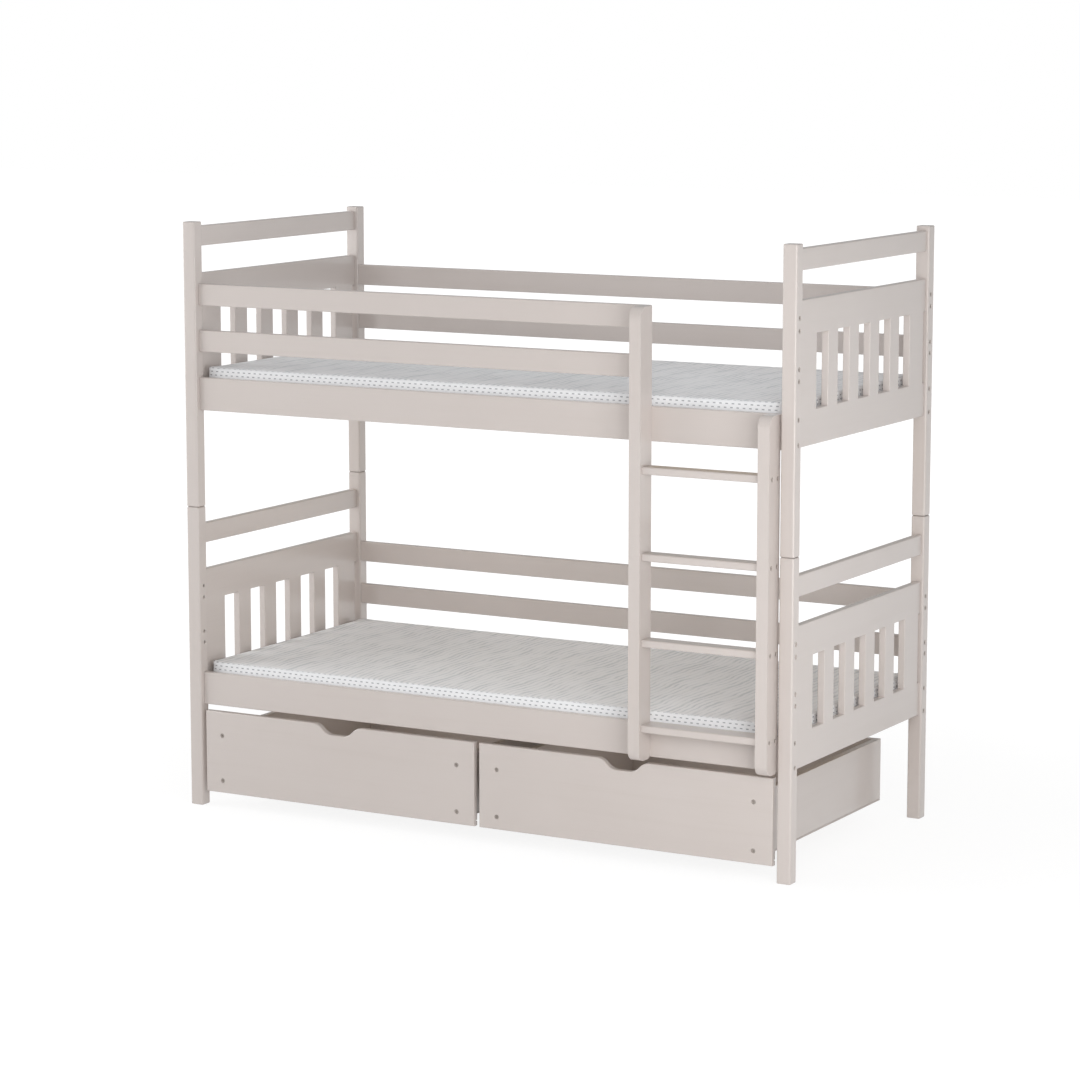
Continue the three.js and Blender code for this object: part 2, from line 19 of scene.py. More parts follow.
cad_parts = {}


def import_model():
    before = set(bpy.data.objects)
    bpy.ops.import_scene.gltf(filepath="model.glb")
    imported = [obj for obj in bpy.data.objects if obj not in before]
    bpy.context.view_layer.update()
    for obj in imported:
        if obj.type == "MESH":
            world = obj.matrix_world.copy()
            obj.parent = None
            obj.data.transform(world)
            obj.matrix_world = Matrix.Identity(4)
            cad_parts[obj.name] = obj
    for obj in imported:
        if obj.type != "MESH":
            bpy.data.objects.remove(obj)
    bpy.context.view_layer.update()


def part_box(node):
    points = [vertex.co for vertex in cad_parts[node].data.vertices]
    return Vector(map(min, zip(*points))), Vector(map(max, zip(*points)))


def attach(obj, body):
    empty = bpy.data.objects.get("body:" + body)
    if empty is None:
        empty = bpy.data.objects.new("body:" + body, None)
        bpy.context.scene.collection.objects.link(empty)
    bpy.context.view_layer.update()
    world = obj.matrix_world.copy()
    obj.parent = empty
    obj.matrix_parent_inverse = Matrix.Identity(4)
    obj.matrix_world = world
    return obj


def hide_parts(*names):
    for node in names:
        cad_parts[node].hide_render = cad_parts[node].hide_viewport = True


log = logging.getLogger("bunk_bed")

Rgb = tuple[int, int, int]
Triple = tuple[float, float, float]
Pairs = tuple[tuple[float, float], ...]
EdgeTest = Callable[[BMEdge], bool]

LEVELS = ("lower", "upper")
SIDES = ("front", "back")
ENDS = ("left", "right")

MM = 0.001
SMALL = 0.01 * MM  # two places closer than this are the same
OVERRUN = 2 * MM  # how far a cutter stands out of what it cuts
SHARP = math.radians(30)  # faces that meet at more than this make an edge
SMOOTH = math.radians(46)  # faces that meet at less than this are shaded as one
FLAT = math.radians(0.5)  # faces that meet at less than this are one face
STRAIGHT = 0.999  # how much of an edge's length lies along an axis that it runs along
TURN = 2 * math.pi
WHITE = (1, 1, 1, 1)

# The cover's grooves and ribs, which its finish and its mesh share.
GROOVE_PITCH = 74 * MM
GROOVE_WIDTH = 9 * MM
RIB_PITCH = 18.5 * MM
# The length, drift and sway of the waves that they follow.
COVER_WAVES = ((190 * MM, 4.0, 2.6 * MM), (67 * MM, 11.0, 1.3 * MM), (410 * MM, 19.0, 4.5 * MM))


class Axis(Enum):
    """A direction of the frame, and the way the grain of a board runs."""

    X = 0
    Y = 1
    Z = 2

    @property
    def vector(self) -> Vector:
        """The unit vector along the axis."""
        return Vector([float(n == self.value) for n in range(3)])


class Slot(Enum):
    """The record's material slots."""

    PAINT = "painted_pine"
    PINE = "bare_pine"
    COVER = "mattress_cover"
    PANEL = "drawer_panel"
    WHEEL = "wheel_plastic"


# Shader graphs


def colour(tone: Rgb) -> tuple[float, float, float, float]:
    """Changes a colour as seen on a screen, 0 to 255, to the linear values that a shader takes.

    Args:
        tone: The screen's red, green and blue.

    Returns:
        The linear red, green and blue with an alpha of 1.
    """
    shares = [value / 255 for value in tone]
    linear = [s / 12.92 if s <= 0.04045 else ((s + 0.055) / 1.055) ** 2.4 for s in shares]
    return (*linear, 1.0)


class Wire:
    """An output socket in a graph, whose arithmetic adds Math nodes."""

    def __init__(self, graph: "Graph", socket: NodeSocket) -> None:
        """Keeps the socket and the graph that it is in."""
        self.graph = graph
        self.socket = socket

    def __add__(self, other: "Wire | float") -> "Wire":
        """Adds two values."""
        return self.graph.math("ADD", self, other)

    def __sub__(self, other: "Wire | float") -> "Wire":
        """Takes a value away."""
        return self.graph.math("SUBTRACT", self, other)

    def __rsub__(self, other: float) -> "Wire":
        """Takes this value from a number."""
        return self.graph.math("SUBTRACT", other, self)

    def __mul__(self, other: "Wire | float") -> "Wire":
        """Multiplies two values."""
        return self.graph.math("MULTIPLY", self, other)

    __radd__ = __add__
    __rmul__ = __mul__

    def wave(self) -> "Wire":
        """The sine of the value."""
        return self.graph.math("SINE", self, 0.0)

    def part(self) -> "Wire":
        """What is left over the whole number below."""
        return self.graph.math("FRACT", self, 0.0)

    def size(self) -> "Wire":
        """The value without its sign."""
        return self.graph.math("ABSOLUTE", self, 0.0)

    def step(self, low: float, high: float) -> "Wire":
        """Rises smoothly from 0 at one value to 1 at another.

        Args:
            low: Where the rise starts.
            high: Where it ends, which may be the lower of the two for a fall.

        Returns:
            The smooth step.
        """
        if low > high:
            return 1.0 - self.step(high, low)
        inputs = {"Value": self, "From Min": low, "From Max": high}
        return self.graph.node("ShaderNodeMapRange", {"interpolation_type": "SMOOTHSTEP"}, inputs)


class Graph:
    """The node tree of a material or of the world, which ends in its output node."""

    def __init__(self, tree: NodeTree, output: str) -> None:
        """Empties the tree and gives it its output.

        Args:
            tree: The node tree.
            output: The type of its output node.
        """
        self.tree = tree
        self.tree.nodes.clear()
        self.end = self.tree.nodes.new(output).inputs["Surface"]

    def node(
        self, kind: str, settings: dict | None = None, inputs: dict | None = None, output: str | int = 0
    ) -> Wire:
        """Adds one node.

        Args:
            kind: The node's type.
            settings: Its own settings, which are set first.
            inputs: Values or wires by the name, identifier or number of the socket.
            output: The name, identifier or number of the output that is wanted.

        Returns:
            The wire from that output.
        """
        made = self.tree.nodes.new(kind)
        for key, value in (settings or {}).items():
            setattr(made, key, value)
        for key, value in (inputs or {}).items():
            self.feed(self.find(made.inputs, key), value)
        return Wire(self, self.find(made.outputs, output))

    @staticmethod
    def find(sockets: Iterable, key: str | int) -> NodeSocket:
        """Finds a socket by its identifier, its name or its number."""
        return next((s for s in sockets if s.identifier == key), None) or sockets[key]

    def feed(self, socket: NodeSocket, value: Wire | float | tuple) -> None:
        """Links a wire to an input, or sets its number, vector or colour.

        Args:
            socket: The input.
            value: The wire or the value. Three numbers for a colour are a screen's, and four are linear.
        """
        if isinstance(value, Wire):
            self.tree.links.new(value.socket, socket)
        else:
            socket.default_value = colour(value) if socket.type == "RGBA" and len(value) == 3 else value

    def math(self, operation: str, a: Wire | float, b: Wire | float) -> Wire:
        """Adds a Math node for two values."""
        return self.node("ShaderNodeMath", {"operation": operation}, {0: a, 1: b})

    def mix(self, factor: Wire, a: Wire | Rgb, b: Wire | Rgb) -> Wire:
        """Mixes two colours: a where the factor is 0, b where it is 1."""
        inputs = {"Factor_Float": factor, "A_Color": a, "B_Color": b}
        return self.node("ShaderNodeMix", {"data_type": "RGBA"}, inputs, "Result_Color")

    def place(self, scale: Triple = (1, 1, 1)) -> Wire:
        """The place on the object, stretched by a scale along each axis."""
        where = self.node("ShaderNodeTexCoord", output="Object")
        return self.node("ShaderNodeMapping", inputs={"Vector": where, "Scale": scale})

    def axes(self, vector: Wire) -> tuple[Wire, Wire, Wire]:
        """Splits a vector into its three values."""
        split = self.node("ShaderNodeSeparateXYZ", inputs={"Vector": vector})
        return tuple(Wire(self, socket) for socket in split.socket.node.outputs)

    def noise(self, where: Wire, scale: float, detail: float = 2.0, distortion: float = 0.0) -> Wire:
        """Soft noise from 0 to 1, with features about 1 / scale across."""
        inputs = {"Vector": where, "Scale": scale, "Detail": detail, "Distortion": distortion}
        return self.node("ShaderNodeTexNoise", inputs=inputs)

    def rays(self, *kinds: str) -> Wire:
        """Adds up the Light Path outputs that are named, to 1 for such rays and 0 for all others."""
        path = self.node("ShaderNodeLightPath").socket.node
        return sum((Wire(self, path.outputs[kind]) for kind in kinds[1:]), Wire(self, path.outputs[kinds[0]]))

    def blend(self, factor: Wire, first: Wire, second: Wire) -> None:
        """Ends the tree with two shaders: the first where the factor is 0, the second where it is 1."""
        self.feed(self.end, self.node("ShaderNodeMixShader", inputs={0: factor, 1: first, 2: second}))


class Finish(Graph):
    """A material's node tree, with a Principled shader at its end."""

    def __init__(self, name: str, **constants: float | tuple) -> None:
        """Makes the material and sets the values that are the same all over.

        Args:
            name: The material's name.
            **constants: Values of the shader's sockets, such as Roughness, with _ for a space.
        """
        self.material = bpy.data.materials.new(name)
        self.material.use_nodes = True
        super().__init__(self.material.node_tree, "ShaderNodeOutputMaterial")
        self.shader = self.node("ShaderNodeBsdfPrincipled")
        self.feed(self.end, self.shader)
        self.dress(**constants)

    def dress(self, **values: Wire | float | tuple) -> Material:
        """Feeds the shader's sockets and gives the material.

        Args:
            **values: Wires or values by the name of the socket, with _ for a space.

        Returns:
            The material.
        """
        for name, value in values.items():
            self.feed(self.shader.socket.node.inputs[name.replace("_", " ")], value)
        return self.material

    def relief(self, height: Wire, depth: float, strength: float) -> None:
        """Raises the surface in the shading, by a height from 0 to 1 of a depth in metres."""
        inputs = {"Height": height, "Distance": depth, "Strength": strength}
        self.dress(Normal=self.node("ShaderNodeBump", inputs=inputs))


def along(axis: Axis, length: float, across: float) -> Triple:
    """A scale that stretches a pattern along one axis."""
    return tuple(length if n == axis.value else across for n in range(3))


@dataclass(frozen=True)
class PaintedPine:
    """Satin warm grey paint, rolled over planed pine whose grain still shows a little."""

    grain: Axis
    paint: Rgb = (209, 200, 195)
    thin_paint: Rgb = (203, 193, 187)
    fibre_scales: tuple[float, float] = (5.0, 260.0)
    ring_scales: tuple[float, float] = (1.2, 34.0)
    roller_scale: float = 900.0
    cloud_scale: float = 3.5
    relief_depth: float = 0.22 * MM

    def material(self) -> Material:
        """Builds the finish for boards whose grain runs along one axis.

        Returns:
            The material.
        """
        graph = Finish(f"painted_pine_{self.grain.name.lower()}", Coat_Weight=0.6, Coat_Roughness=0.15)
        fibres = graph.noise(graph.place(along(self.grain, *self.fibre_scales)), 1.0, 4.0)
        rings = graph.noise(graph.place(along(self.grain, *self.ring_scales)), 1.0, 2.0, 0.6)
        roller = graph.noise(graph.place(), self.roller_scale, 1.0)
        clouds = graph.noise(graph.place(), self.cloud_scale)
        thin = fibres.step(0.52, 0.78) * 0.22 + rings.step(0.45, 0.75) * 0.2 + clouds.step(0.35, 0.7) * 0.25
        graph.relief(fibres * 0.6 + rings * 0.25 + roller * 0.3, self.relief_depth, 0.55)
        tone = graph.mix(thin, self.paint, self.thin_paint)
        return graph.dress(Base_Color=tone, Roughness=0.27 + 0.08 * clouds + 0.06 * roller)


@dataclass(frozen=True)
class BarePine:
    """Planed pine without paint, with its growth rings and pores."""

    grain: Axis
    early_wood: Rgb = (230, 207, 168)
    late_wood: Rgb = (203, 167, 120)
    bend_scales: tuple[float, float] = (0.7, 21.0)
    fibre_scales: tuple[float, float] = (12.0, 420.0)
    rings: float = 13.0
    relief_depth: float = 0.25 * MM

    def material(self) -> Material:
        """Builds the finish for boards whose grain runs along one axis.

        Returns:
            The material.
        """
        graph = Finish(f"bare_pine_{self.grain.name.lower()}")
        bend = graph.noise(graph.place(along(self.grain, *self.bend_scales)), 1.0, 1.0)
        rings = ((bend * self.rings).part() - 0.5).size() * 2.0
        fibres = graph.noise(graph.place(along(self.grain, *self.fibre_scales)), 1.0, 3.0)
        late = rings.step(0.35, 1.0) * 0.5 + fibres.step(0.45, 0.8) * 0.25
        graph.relief(fibres * 0.7 + rings * 0.3, self.relief_depth, 0.6)
        tone = graph.mix(late, self.early_wood, self.late_wood)
        return graph.dress(Base_Color=tone, Roughness=0.52 + 0.16 * fibres)


@dataclass(frozen=True)
class Fibreboard:
    """The thin painted board under each drawer, with the faint speckle of its pressed fibres."""

    paint: Rgb = (206, 197, 191)
    speckle: Rgb = (190, 181, 174)
    fibre_scale: float = 420.0
    cloud_scale: float = 6.0
    relief_depth: float = 0.12 * MM

    def material(self) -> Material:
        """Builds the finish.

        Returns:
            The material.
        """
        graph = Finish("painted_fibreboard")
        fibres = graph.noise(graph.place(), self.fibre_scale, 4.0, 1.2)
        clouds = graph.noise(graph.place(), self.cloud_scale)
        graph.relief(fibres, self.relief_depth, 0.5)
        mask = fibres.step(0.5, 0.75) * 0.45 + clouds.step(0.4, 0.7) * 0.2
        tone = graph.mix(mask, self.paint, self.speckle)
        return graph.dress(Base_Color=tone, Roughness=0.45 + 0.15 * fibres)


@dataclass(frozen=True)
class KnitCover:
    """A white knitted mattress cover: wavy ribs over the top, with painted shade darkening its grooves and
    the valleys between its ribs, and a border with staggered rows of dashes.
    """

    base: float
    height: float
    yarn: Rgb = (250, 251, 253)
    # The grey tone of the painted shade in the cover's grooves and between its ribs.
    valley_shade: Rgb = (188, 195, 201)
    border: Rgb = (245, 246, 248)
    dash: Rgb = (150, 153, 157)
    dash_pitch: float = 18 * MM
    dash_length: float = 7.5 * MM
    dash_width: float = 2.6 * MM
    dash_blur: float = 0.04
    row_pitch: float = 10 * MM
    row_slip: float = 0.82
    edge: float = 3.5 * MM
    patch_scale: float = 15.0
    loop_scale: float = 700.0
    relief_depth: float = 1 * MM

    def material(self) -> Material:
        """Builds the cover's finish for a mattress whose underside is at the given height.

        Returns:
            The material.
        """
        graph = Finish("knit_cover", Roughness=0.92, Sheen_Weight=0.25, Sheen_Roughness=0.5)
        x, y, z = graph.axes(graph.place())
        facing = graph.axes(graph.node("ShaderNodeTexCoord", output="Normal"))
        on_top = facing[2].size().step(0.9, 0.985)
        on_end = facing[0].size().step(0.6, 0.8)
        grooves, ribs = self.lines(x, y)
        dashes = self.dashes(x * (1.0 - on_end) + y * on_end, z)
        patches = graph.noise(graph.place((1.6, 0.7, 1)), self.patch_scale, 3.0).step(0.38, 0.62)
        loops = graph.noise(graph.place((1, 0.35, 1)), self.loop_scale)
        # Painted shade: the grooves and the valleys between the ribs are darkened towards the valley tone,
        # more so in patches. The knit's loops add a little tone of their own.
        wear_and_painted_shade = grooves * 0.22 + ribs * (0.14 + 0.4 * patches) + (loops - 0.5) * 0.3
        top = graph.mix(wear_and_painted_shade, self.yarn, self.valley_shade)
        sides = graph.mix(dashes * 0.85 + (loops - 0.5) * 0.2, self.border, self.dash)
        high = (0.6 - grooves * 0.6 - ribs * patches * 0.4) * on_top
        high = high + loops * 0.25 - dashes * (1.0 - on_top) * 0.4
        graph.relief(high, self.relief_depth, 0.7)
        return graph.dress(Base_Color=graph.mix(on_top, sides, top))

    def lines(self, x: Wire, y: Wire) -> tuple[Wire, Wire]:
        """Draws the wavy lines that run across the cover.

        Args:
            x: The place along the bed.
            y: The place across it.

        Returns:
            The grooves, and the valleys between the ribs.
        """
        line = x
        for length, drift, sway in COVER_WAVES:
            line = line + (y * (TURN / length) + x * drift).wave() * sway
        from_groove = ((line * (1 / GROOVE_PITCH)).part() - 0.5).size() * GROOVE_PITCH
        valleys = 0.5 - (line * (TURN / RIB_PITCH)).wave() * 0.5
        return from_groove.step(GROOVE_WIDTH / 2, 0.0), valleys.step(0.35, 1.0)

    def dashes(self, run: Wire, z: Wire) -> Wire:
        """Draws the border's rows of dashes, each row a little further on than the next.

        Args:
            run: The place along the border.
            z: The height.

        Returns:
            The dashes.
        """
        row = (z - (self.base + self.height - self.edge)) * (1 / self.row_pitch)
        slip = (row - row.part()) * self.row_slip
        half_width = self.dash_width / 2 / self.row_pitch
        half_length = self.dash_length / 2 / self.dash_pitch
        across = (row.part() - 0.5).size().step(half_width + 0.05, 0.1)
        down = ((run * (1 / self.dash_pitch) + slip).part() - 0.5).size()
        return across * down.step(half_length + self.dash_blur, half_length - self.dash_blur)


@dataclass(frozen=True)
class Plastic:
    """Moulded dark plastic with a fine spark-eroded grain."""

    tone: Rgb = (58, 58, 60)
    wear_and_painted_shade: Rgb = (84, 83, 82)
    grain_scale: float = 2200.0
    dust_scale: float = 90.0
    relief_depth: float = 0.08 * MM

    def material(self) -> Material:
        """Builds the finish.

        Returns:
            The material.
        """
        graph = Finish("wheel_plastic")
        dust = graph.noise(graph.place(), self.dust_scale, 4.0)
        graph.relief(graph.noise(graph.place(), self.grain_scale), self.relief_depth, 0.5)
        tone = graph.mix(dust.step(0.5, 0.8) * 0.6, self.tone, self.wear_and_painted_shade)
        return graph.dress(Base_Color=tone, Roughness=0.42 + 0.2 * dust)


@dataclass(frozen=True)
class Steel:
    """Zinc-plated steel, for the axles and staples."""

    tone: Rgb = (190, 191, 192)
    dull: Rgb = (150, 150, 148)
    turning_scale: Triple = (3000, 60, 60)
    blotch_scale: float = 160.0
    relief_depth: float = 0.03 * MM

    def material(self) -> Material:
        """Builds the finish.

        Returns:
            The material.
        """
        graph = Finish("zinc_steel", Metallic=1.0)
        blotches = graph.noise(graph.place(), self.blotch_scale, 3.0)
        graph.relief(graph.noise(graph.place(self.turning_scale), 1.0), self.relief_depth, 0.5)
        tone = graph.mix(blotches.step(0.4, 0.7), self.tone, self.dull)
        return graph.dress(Base_Color=tone, Roughness=0.28 + 0.2 * blotches)


@dataclass(frozen=True)
class ScrewPaint:
    """The lacquer on the screw heads, a shade darker than the boards."""

    tone: Rgb = (168, 159, 152)
    rubbed: Rgb = (146, 138, 132)
    fleck_scale: float = 1400.0
    relief_depth: float = 0.05 * MM

    def material(self) -> Material:
        """Builds the finish.

        Returns:
            The material.
        """
        graph = Finish("screw_lacquer")
        flecks = graph.noise(graph.place(), self.fleck_scale, 3.0)
        graph.relief(flecks, self.relief_depth, 0.5)
        tone = graph.mix(flecks.step(0.45, 0.7), self.tone, self.rubbed)
        return graph.dress(Base_Color=tone, Roughness=0.34 + 0.2 * flecks)


@dataclass(frozen=True)
class Webbing:
    """White woven strap, with ribs across its width."""

    tone: Rgb = (222, 220, 214)
    shade: Rgb = (186, 183, 176)
    rib: float = 1.6 * MM
    relief_depth: float = 0.3 * MM

    def material(self) -> Material:
        """Builds the finish.

        Returns:
            The material.
        """
        graph = Finish("webbing", Roughness=0.85)
        places = graph.axes(graph.place())[:2]
        weft, warp = [(place * (TURN / self.rib)).wave() * 0.5 + 0.5 for place in places]
        weave = weft * 0.7 + warp * 0.3
        graph.relief(weave, self.relief_depth, 0.7)
        return graph.dress(Base_Color=graph.mix(weave, self.shade, self.tone))


# Modelling, as by hand


def stand_alone(piece: Object | None = None) -> None:
    """Deselects everything in object mode, and then makes one piece the active one.

    Args:
        piece: The piece to work on, if there is one.
    """
    if bpy.context.object and bpy.context.object.mode != "OBJECT":
        leave_edit()
    bpy.ops.object.select_all(action="DESELECT")
    if piece:
        piece.select_set(True)
        bpy.context.view_layer.objects.active = piece


def leave_edit() -> None:
    """Goes back to object mode."""
    bpy.ops.object.mode_set(mode="OBJECT")


def edit_all(piece: Object) -> None:
    """Goes into edit mode with everything selected.

    Args:
        piece: The piece to edit.
    """
    stand_alone(piece)
    bpy.ops.object.mode_set(mode="EDIT")
    bpy.ops.mesh.select_all(action="SELECT")


def settle(name: str) -> Object:
    """Names the new primitive and moves its place and size into its mesh.

    Args:
        name: The piece's name.

    Returns:
        The piece, its object at the origin.
    """
    piece = bpy.context.object
    piece.name = piece.data.name = name
    bpy.ops.object.transform_apply(location=True, rotation=True, scale=True)
    return piece


def block(name: str, corner: Iterable[float], opposite: Iterable[float]) -> Object:
    """Adds a block between two corners.

    Args:
        name: The block's name.
        corner: One of its corners.
        opposite: The corner opposite that one.

    Returns:
        The block.
    """
    stand_alone()
    one, other = Vector(corner), Vector(opposite)
    size = [abs(value) for value in other - one]
    bpy.ops.mesh.primitive_cube_add(size=1, location=(one + other) / 2, scale=size)
    return settle(name)


def rod(name: str, centre: Vector, radius: float, length: float, axis: Axis, sides: int = 20) -> Object:
    """Adds a round rod along one axis.

    Args:
        name: The rod's name.
        centre: Its middle.
        radius: Its radius.
        length: Its length.
        axis: The way it runs.
        sides: How many sides its round has.

    Returns:
        The rod.
    """
    stand_alone()
    turn = Axis.Z.vector.rotation_difference(axis.vector).to_euler()
    bpy.ops.mesh.primitive_cylinder_add(
        vertices=sides, radius=radius, depth=length, location=centre, rotation=turn)
    return settle(name)


def is_sharp(edge: BMEdge) -> bool:
    """Whether two faces meet at the edge at a clear angle."""
    return len(edge.link_faces) == 2 and edge.calc_face_angle(0) > SHARP


def runs(axis: Axis) -> EdgeTest:
    """A test for edges that run along an axis."""
    return lambda edge: abs((edge.verts[1].co - edge.verts[0].co).normalized()[axis.value]) > STRAIGHT


def at(axis: Axis, *places: float) -> EdgeTest:
    """A test for edges that lie at one of the places along an axis."""
    return lambda edge: any(
        all(abs(vert.co[axis.value] - place) < SMALL for vert in edge.verts) for place in places)


def off(axis: Axis, *places: float) -> EdgeTest:
    """A test for edges that lie at none of the places along an axis."""
    return lambda edge: not at(axis, *places)(edge)


def pick_edges(piece: Object, *tests: EdgeTest) -> None:
    """Goes into edit mode with only those edges selected that pass all the tests.

    Args:
        piece: The piece to edit.
        *tests: What is asked of an edge.
    """
    stand_alone(piece)
    bpy.ops.object.mode_set(mode="EDIT")
    bpy.ops.mesh.select_mode(type="EDGE")
    bpy.ops.mesh.select_all(action="DESELECT")
    for edge in bmesh.from_edit_mesh(piece.data).edges:
        edge.select_set(all(test(edge) for test in tests))
    bmesh.update_edit_mesh(piece.data)


def round_edges(piece: Object, radius: float, steps: int, *tests: EdgeTest) -> None:
    """Rounds the edges that pass all the tests.

    Args:
        piece: The piece.
        radius: The radius of the round, or the width of the cut if it has one step.
        steps: How many faces make the round.
        *tests: What is asked of an edge.
    """
    pick_edges(piece, *tests)
    bpy.ops.mesh.bevel(offset=radius, segments=steps, affect="EDGES", profile=0.5, clamp_overlap=True)
    leave_edit()


def clean_flats(piece: Object) -> None:
    """Takes out the edges that a cut leaves across flat faces.

    Args:
        piece: The piece that was cut.
    """
    edit_all(piece)
    bpy.ops.mesh.remove_doubles(threshold=SMALL)
    bpy.ops.mesh.dissolve_limited(angle_limit=FLAT)
    leave_edit()


def apply_modifier(piece: Object, kind: str, **settings: object) -> None:
    """Adds a modifier and applies it at once.

    Args:
        piece: The piece.
        kind: The modifier's type.
        **settings: The modifier's settings.
    """
    modifier = piece.modifiers.new(kind.lower(), kind)
    for key, value in settings.items():
        setattr(modifier, key, value)
    stand_alone(piece)
    bpy.ops.object.modifier_apply(modifier=modifier.name)


def put_away(*pieces: Object) -> None:
    """Takes pieces out of the scene."""
    for piece in pieces:
        bpy.data.objects.remove(piece)


def cut(piece: Object, cutter: Object) -> None:
    """Cuts one piece by a closed shape, which is used up."""
    apply_modifier(piece, "BOOLEAN", operation="DIFFERENCE", solver="EXACT", object=cutter)
    put_away(cutter)


def join(name: str, pieces: list[Object]) -> Object:
    """Joins pieces into one object.

    Args:
        name: The object's name.
        pieces: What is joined.

    Returns:
        The joined object.
    """
    stand_alone(pieces[0])
    for piece in pieces:
        piece.select_set(True)
    if len(pieces) > 1:
        bpy.ops.object.join()
    pieces[0].name = pieces[0].data.name = name
    return pieces[0]


def copy_of(piece: Object, name: str, change: Matrix) -> Object:
    """Copies a piece with a mesh of its own, moved, turned or mirrored.

    Args:
        piece: The piece that is copied.
        name: The copy's name.
        change: What is done to the copy's mesh.

    Returns:
        The copy.
    """
    mesh = piece.data.copy()
    mesh.transform(change)
    if change.determinant() < 0:
        mesh.flip_normals()
    mesh.name = name
    made = bpy.data.objects.new(name, mesh)
    bpy.context.scene.collection.objects.link(made)
    return made


def moved_copy(piece: Object, name: str, first: str, node: str) -> Object:
    """Copies a piece from the place of the first solid to that of another."""
    return copy_of(piece, name, Matrix.Translation(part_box(node)[0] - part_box(first)[0]))


def mirror(axis: Axis, place: float) -> Matrix:
    """A reflection in a plane across the axis at the given place."""
    move = Matrix.Translation(axis.vector * place)
    return move @ Matrix.Scale(-1, 4, axis.vector) @ move.inverted()


def spread(first: float, last: float, count: int) -> list[float]:
    """Places at equal distances from the first to the last."""
    return [first + n * (last - first) / (count - 1) for n in range(count)]


def centre_of(node: str) -> Vector:
    """The middle of a solid."""
    low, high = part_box(node)
    return (low + high) / 2


def outer_face(node: str, end: str) -> tuple[float, Vector]:
    """The place of a solid's face towards one end of the bed, and the way that it looks."""
    low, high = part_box(node)
    return (low.x, -Axis.X.vector) if end == "left" else (high.x, Axis.X.vector)


def finish(
    piece: Object, material: Material, body: str, slot: Slot, node: str | None = None, soft: bool = False
) -> None:
    """Shades and dresses a piece, says what it rides on and hangs it there, and hides the solid that it
    stands for.

    Args:
        piece: The modelled piece.
        material: Its finish.
        body: The body that it moves with.
        slot: The record's slot for its finish; not used.
        node: The solid that it replaces, if it does.
        soft: Whether it is smooth all over.
    """
    piece.data.materials.clear()
    piece.data.materials.append(material)
    stand_alone(piece)
    if soft:
        bpy.ops.object.shade_smooth()
    else:
        bpy.ops.object.shade_smooth_by_angle(angle=SMOOTH)
        apply_modifier(piece, "WEIGHTED_NORMAL", keep_sharp=True)
    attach(piece, body)
    if node:
        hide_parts(node)
    log.info("%s rides on %s", piece.name, body)


@dataclass
class Workshop:
    """The finishes, the master screw and the master drill that all sub-assemblies share."""

    screw_radius: float = 6 * MM
    screw_height: float = 3 * MM
    screw_rim: float = 0.6 * MM
    screw_sides: int = 18
    socket_radius: float = 2.6 * MM
    socket_depth: float = 2 * MM
    sink: float = 1.6 * MM
    bore_radius: float = 6.3 * MM
    bore_depth: float = 4.7 * MM
    bore_sides: int = 24
    flare: float = 0.5 * MM

    def __post_init__(self) -> None:
        """Mixes the finishes and turns the master screw and drill."""
        self.paint = {axis: PaintedPine(axis).material() for axis in Axis}
        self.pine = BarePine(Axis.Y).material()
        self.panel = Fibreboard().material()
        self.plastic = Plastic().material()
        self.steel = Steel().material()
        self.lacquer = ScrewPaint().material()
        self.webbing = Webbing().material()
        self.screw = self.make_screw()
        self.drill = self.make_drill()

    def make_screw(self) -> Object:
        """Turns a flat screw head with a hexagon socket, its top facing +Z and sunk below the origin.

        Returns:
            The master screw.
        """
        top = -self.sink
        middle = Vector((0, 0, top - self.screw_height / 2))
        head = rod("screw_master", middle, self.screw_radius, self.screw_height, Axis.Z, self.screw_sides)
        round_edges(head, self.screw_rim, 2, is_sharp, at(Axis.Z, top))
        socket_middle = Vector((0, 0, top - self.socket_depth / 2 + OVERRUN / 2))
        cut(head, rod("hexagon", socket_middle, self.socket_radius, self.socket_depth + OVERRUN, Axis.Z, 6))
        return head

    def make_drill(self) -> Object:
        """Makes the cutter of a flat-bottomed bore with a flared mouth at the origin, going down -Z.

        Returns:
            The master cutter.
        """
        height = self.bore_depth + OVERRUN
        middle = Vector((0, 0, height / 2 - self.bore_depth))
        drill = rod("drill_master", middle, self.bore_radius, height, Axis.Z, self.bore_sides)
        pick_edges(drill, runs(Axis.Z))
        bpy.ops.mesh.subdivide(number_cuts=1)
        leave_edit()
        cone = self.bore_radius + self.flare
        for vert in drill.data.vertices:
            flat = Vector((vert.co.x, vert.co.y))
            if vert.co.z > 0 and flat.length > SMALL:
                scale = (cone + vert.co.z) / flat.length
                vert.co.x, vert.co.y = flat * scale
            elif vert.co.z > -self.bore_depth + SMALL:
                vert.co.z = -self.flare
        return drill

    def bore(self, piece: Object, places: Iterable[Vector], facing: Vector) -> list[Matrix]:
        """Bores countersunk holes in a face.

        Args:
            piece: The board that is bored.
            places: Points on the face.
            facing: The way the face looks.

        Returns:
            What brings the master screw into each hole.
        """
        turn = Axis.Z.vector.rotation_difference(facing).to_matrix().to_4x4()
        moves = [Matrix.Translation(place) @ turn for place in places]
        cut(piece, join("drills", [copy_of(self.drill, "drill", move) for move in moves]))
        return moves

    def clear_away(self) -> None:
        """Takes the masters out of the scene."""
        put_away(self.screw, self.drill)


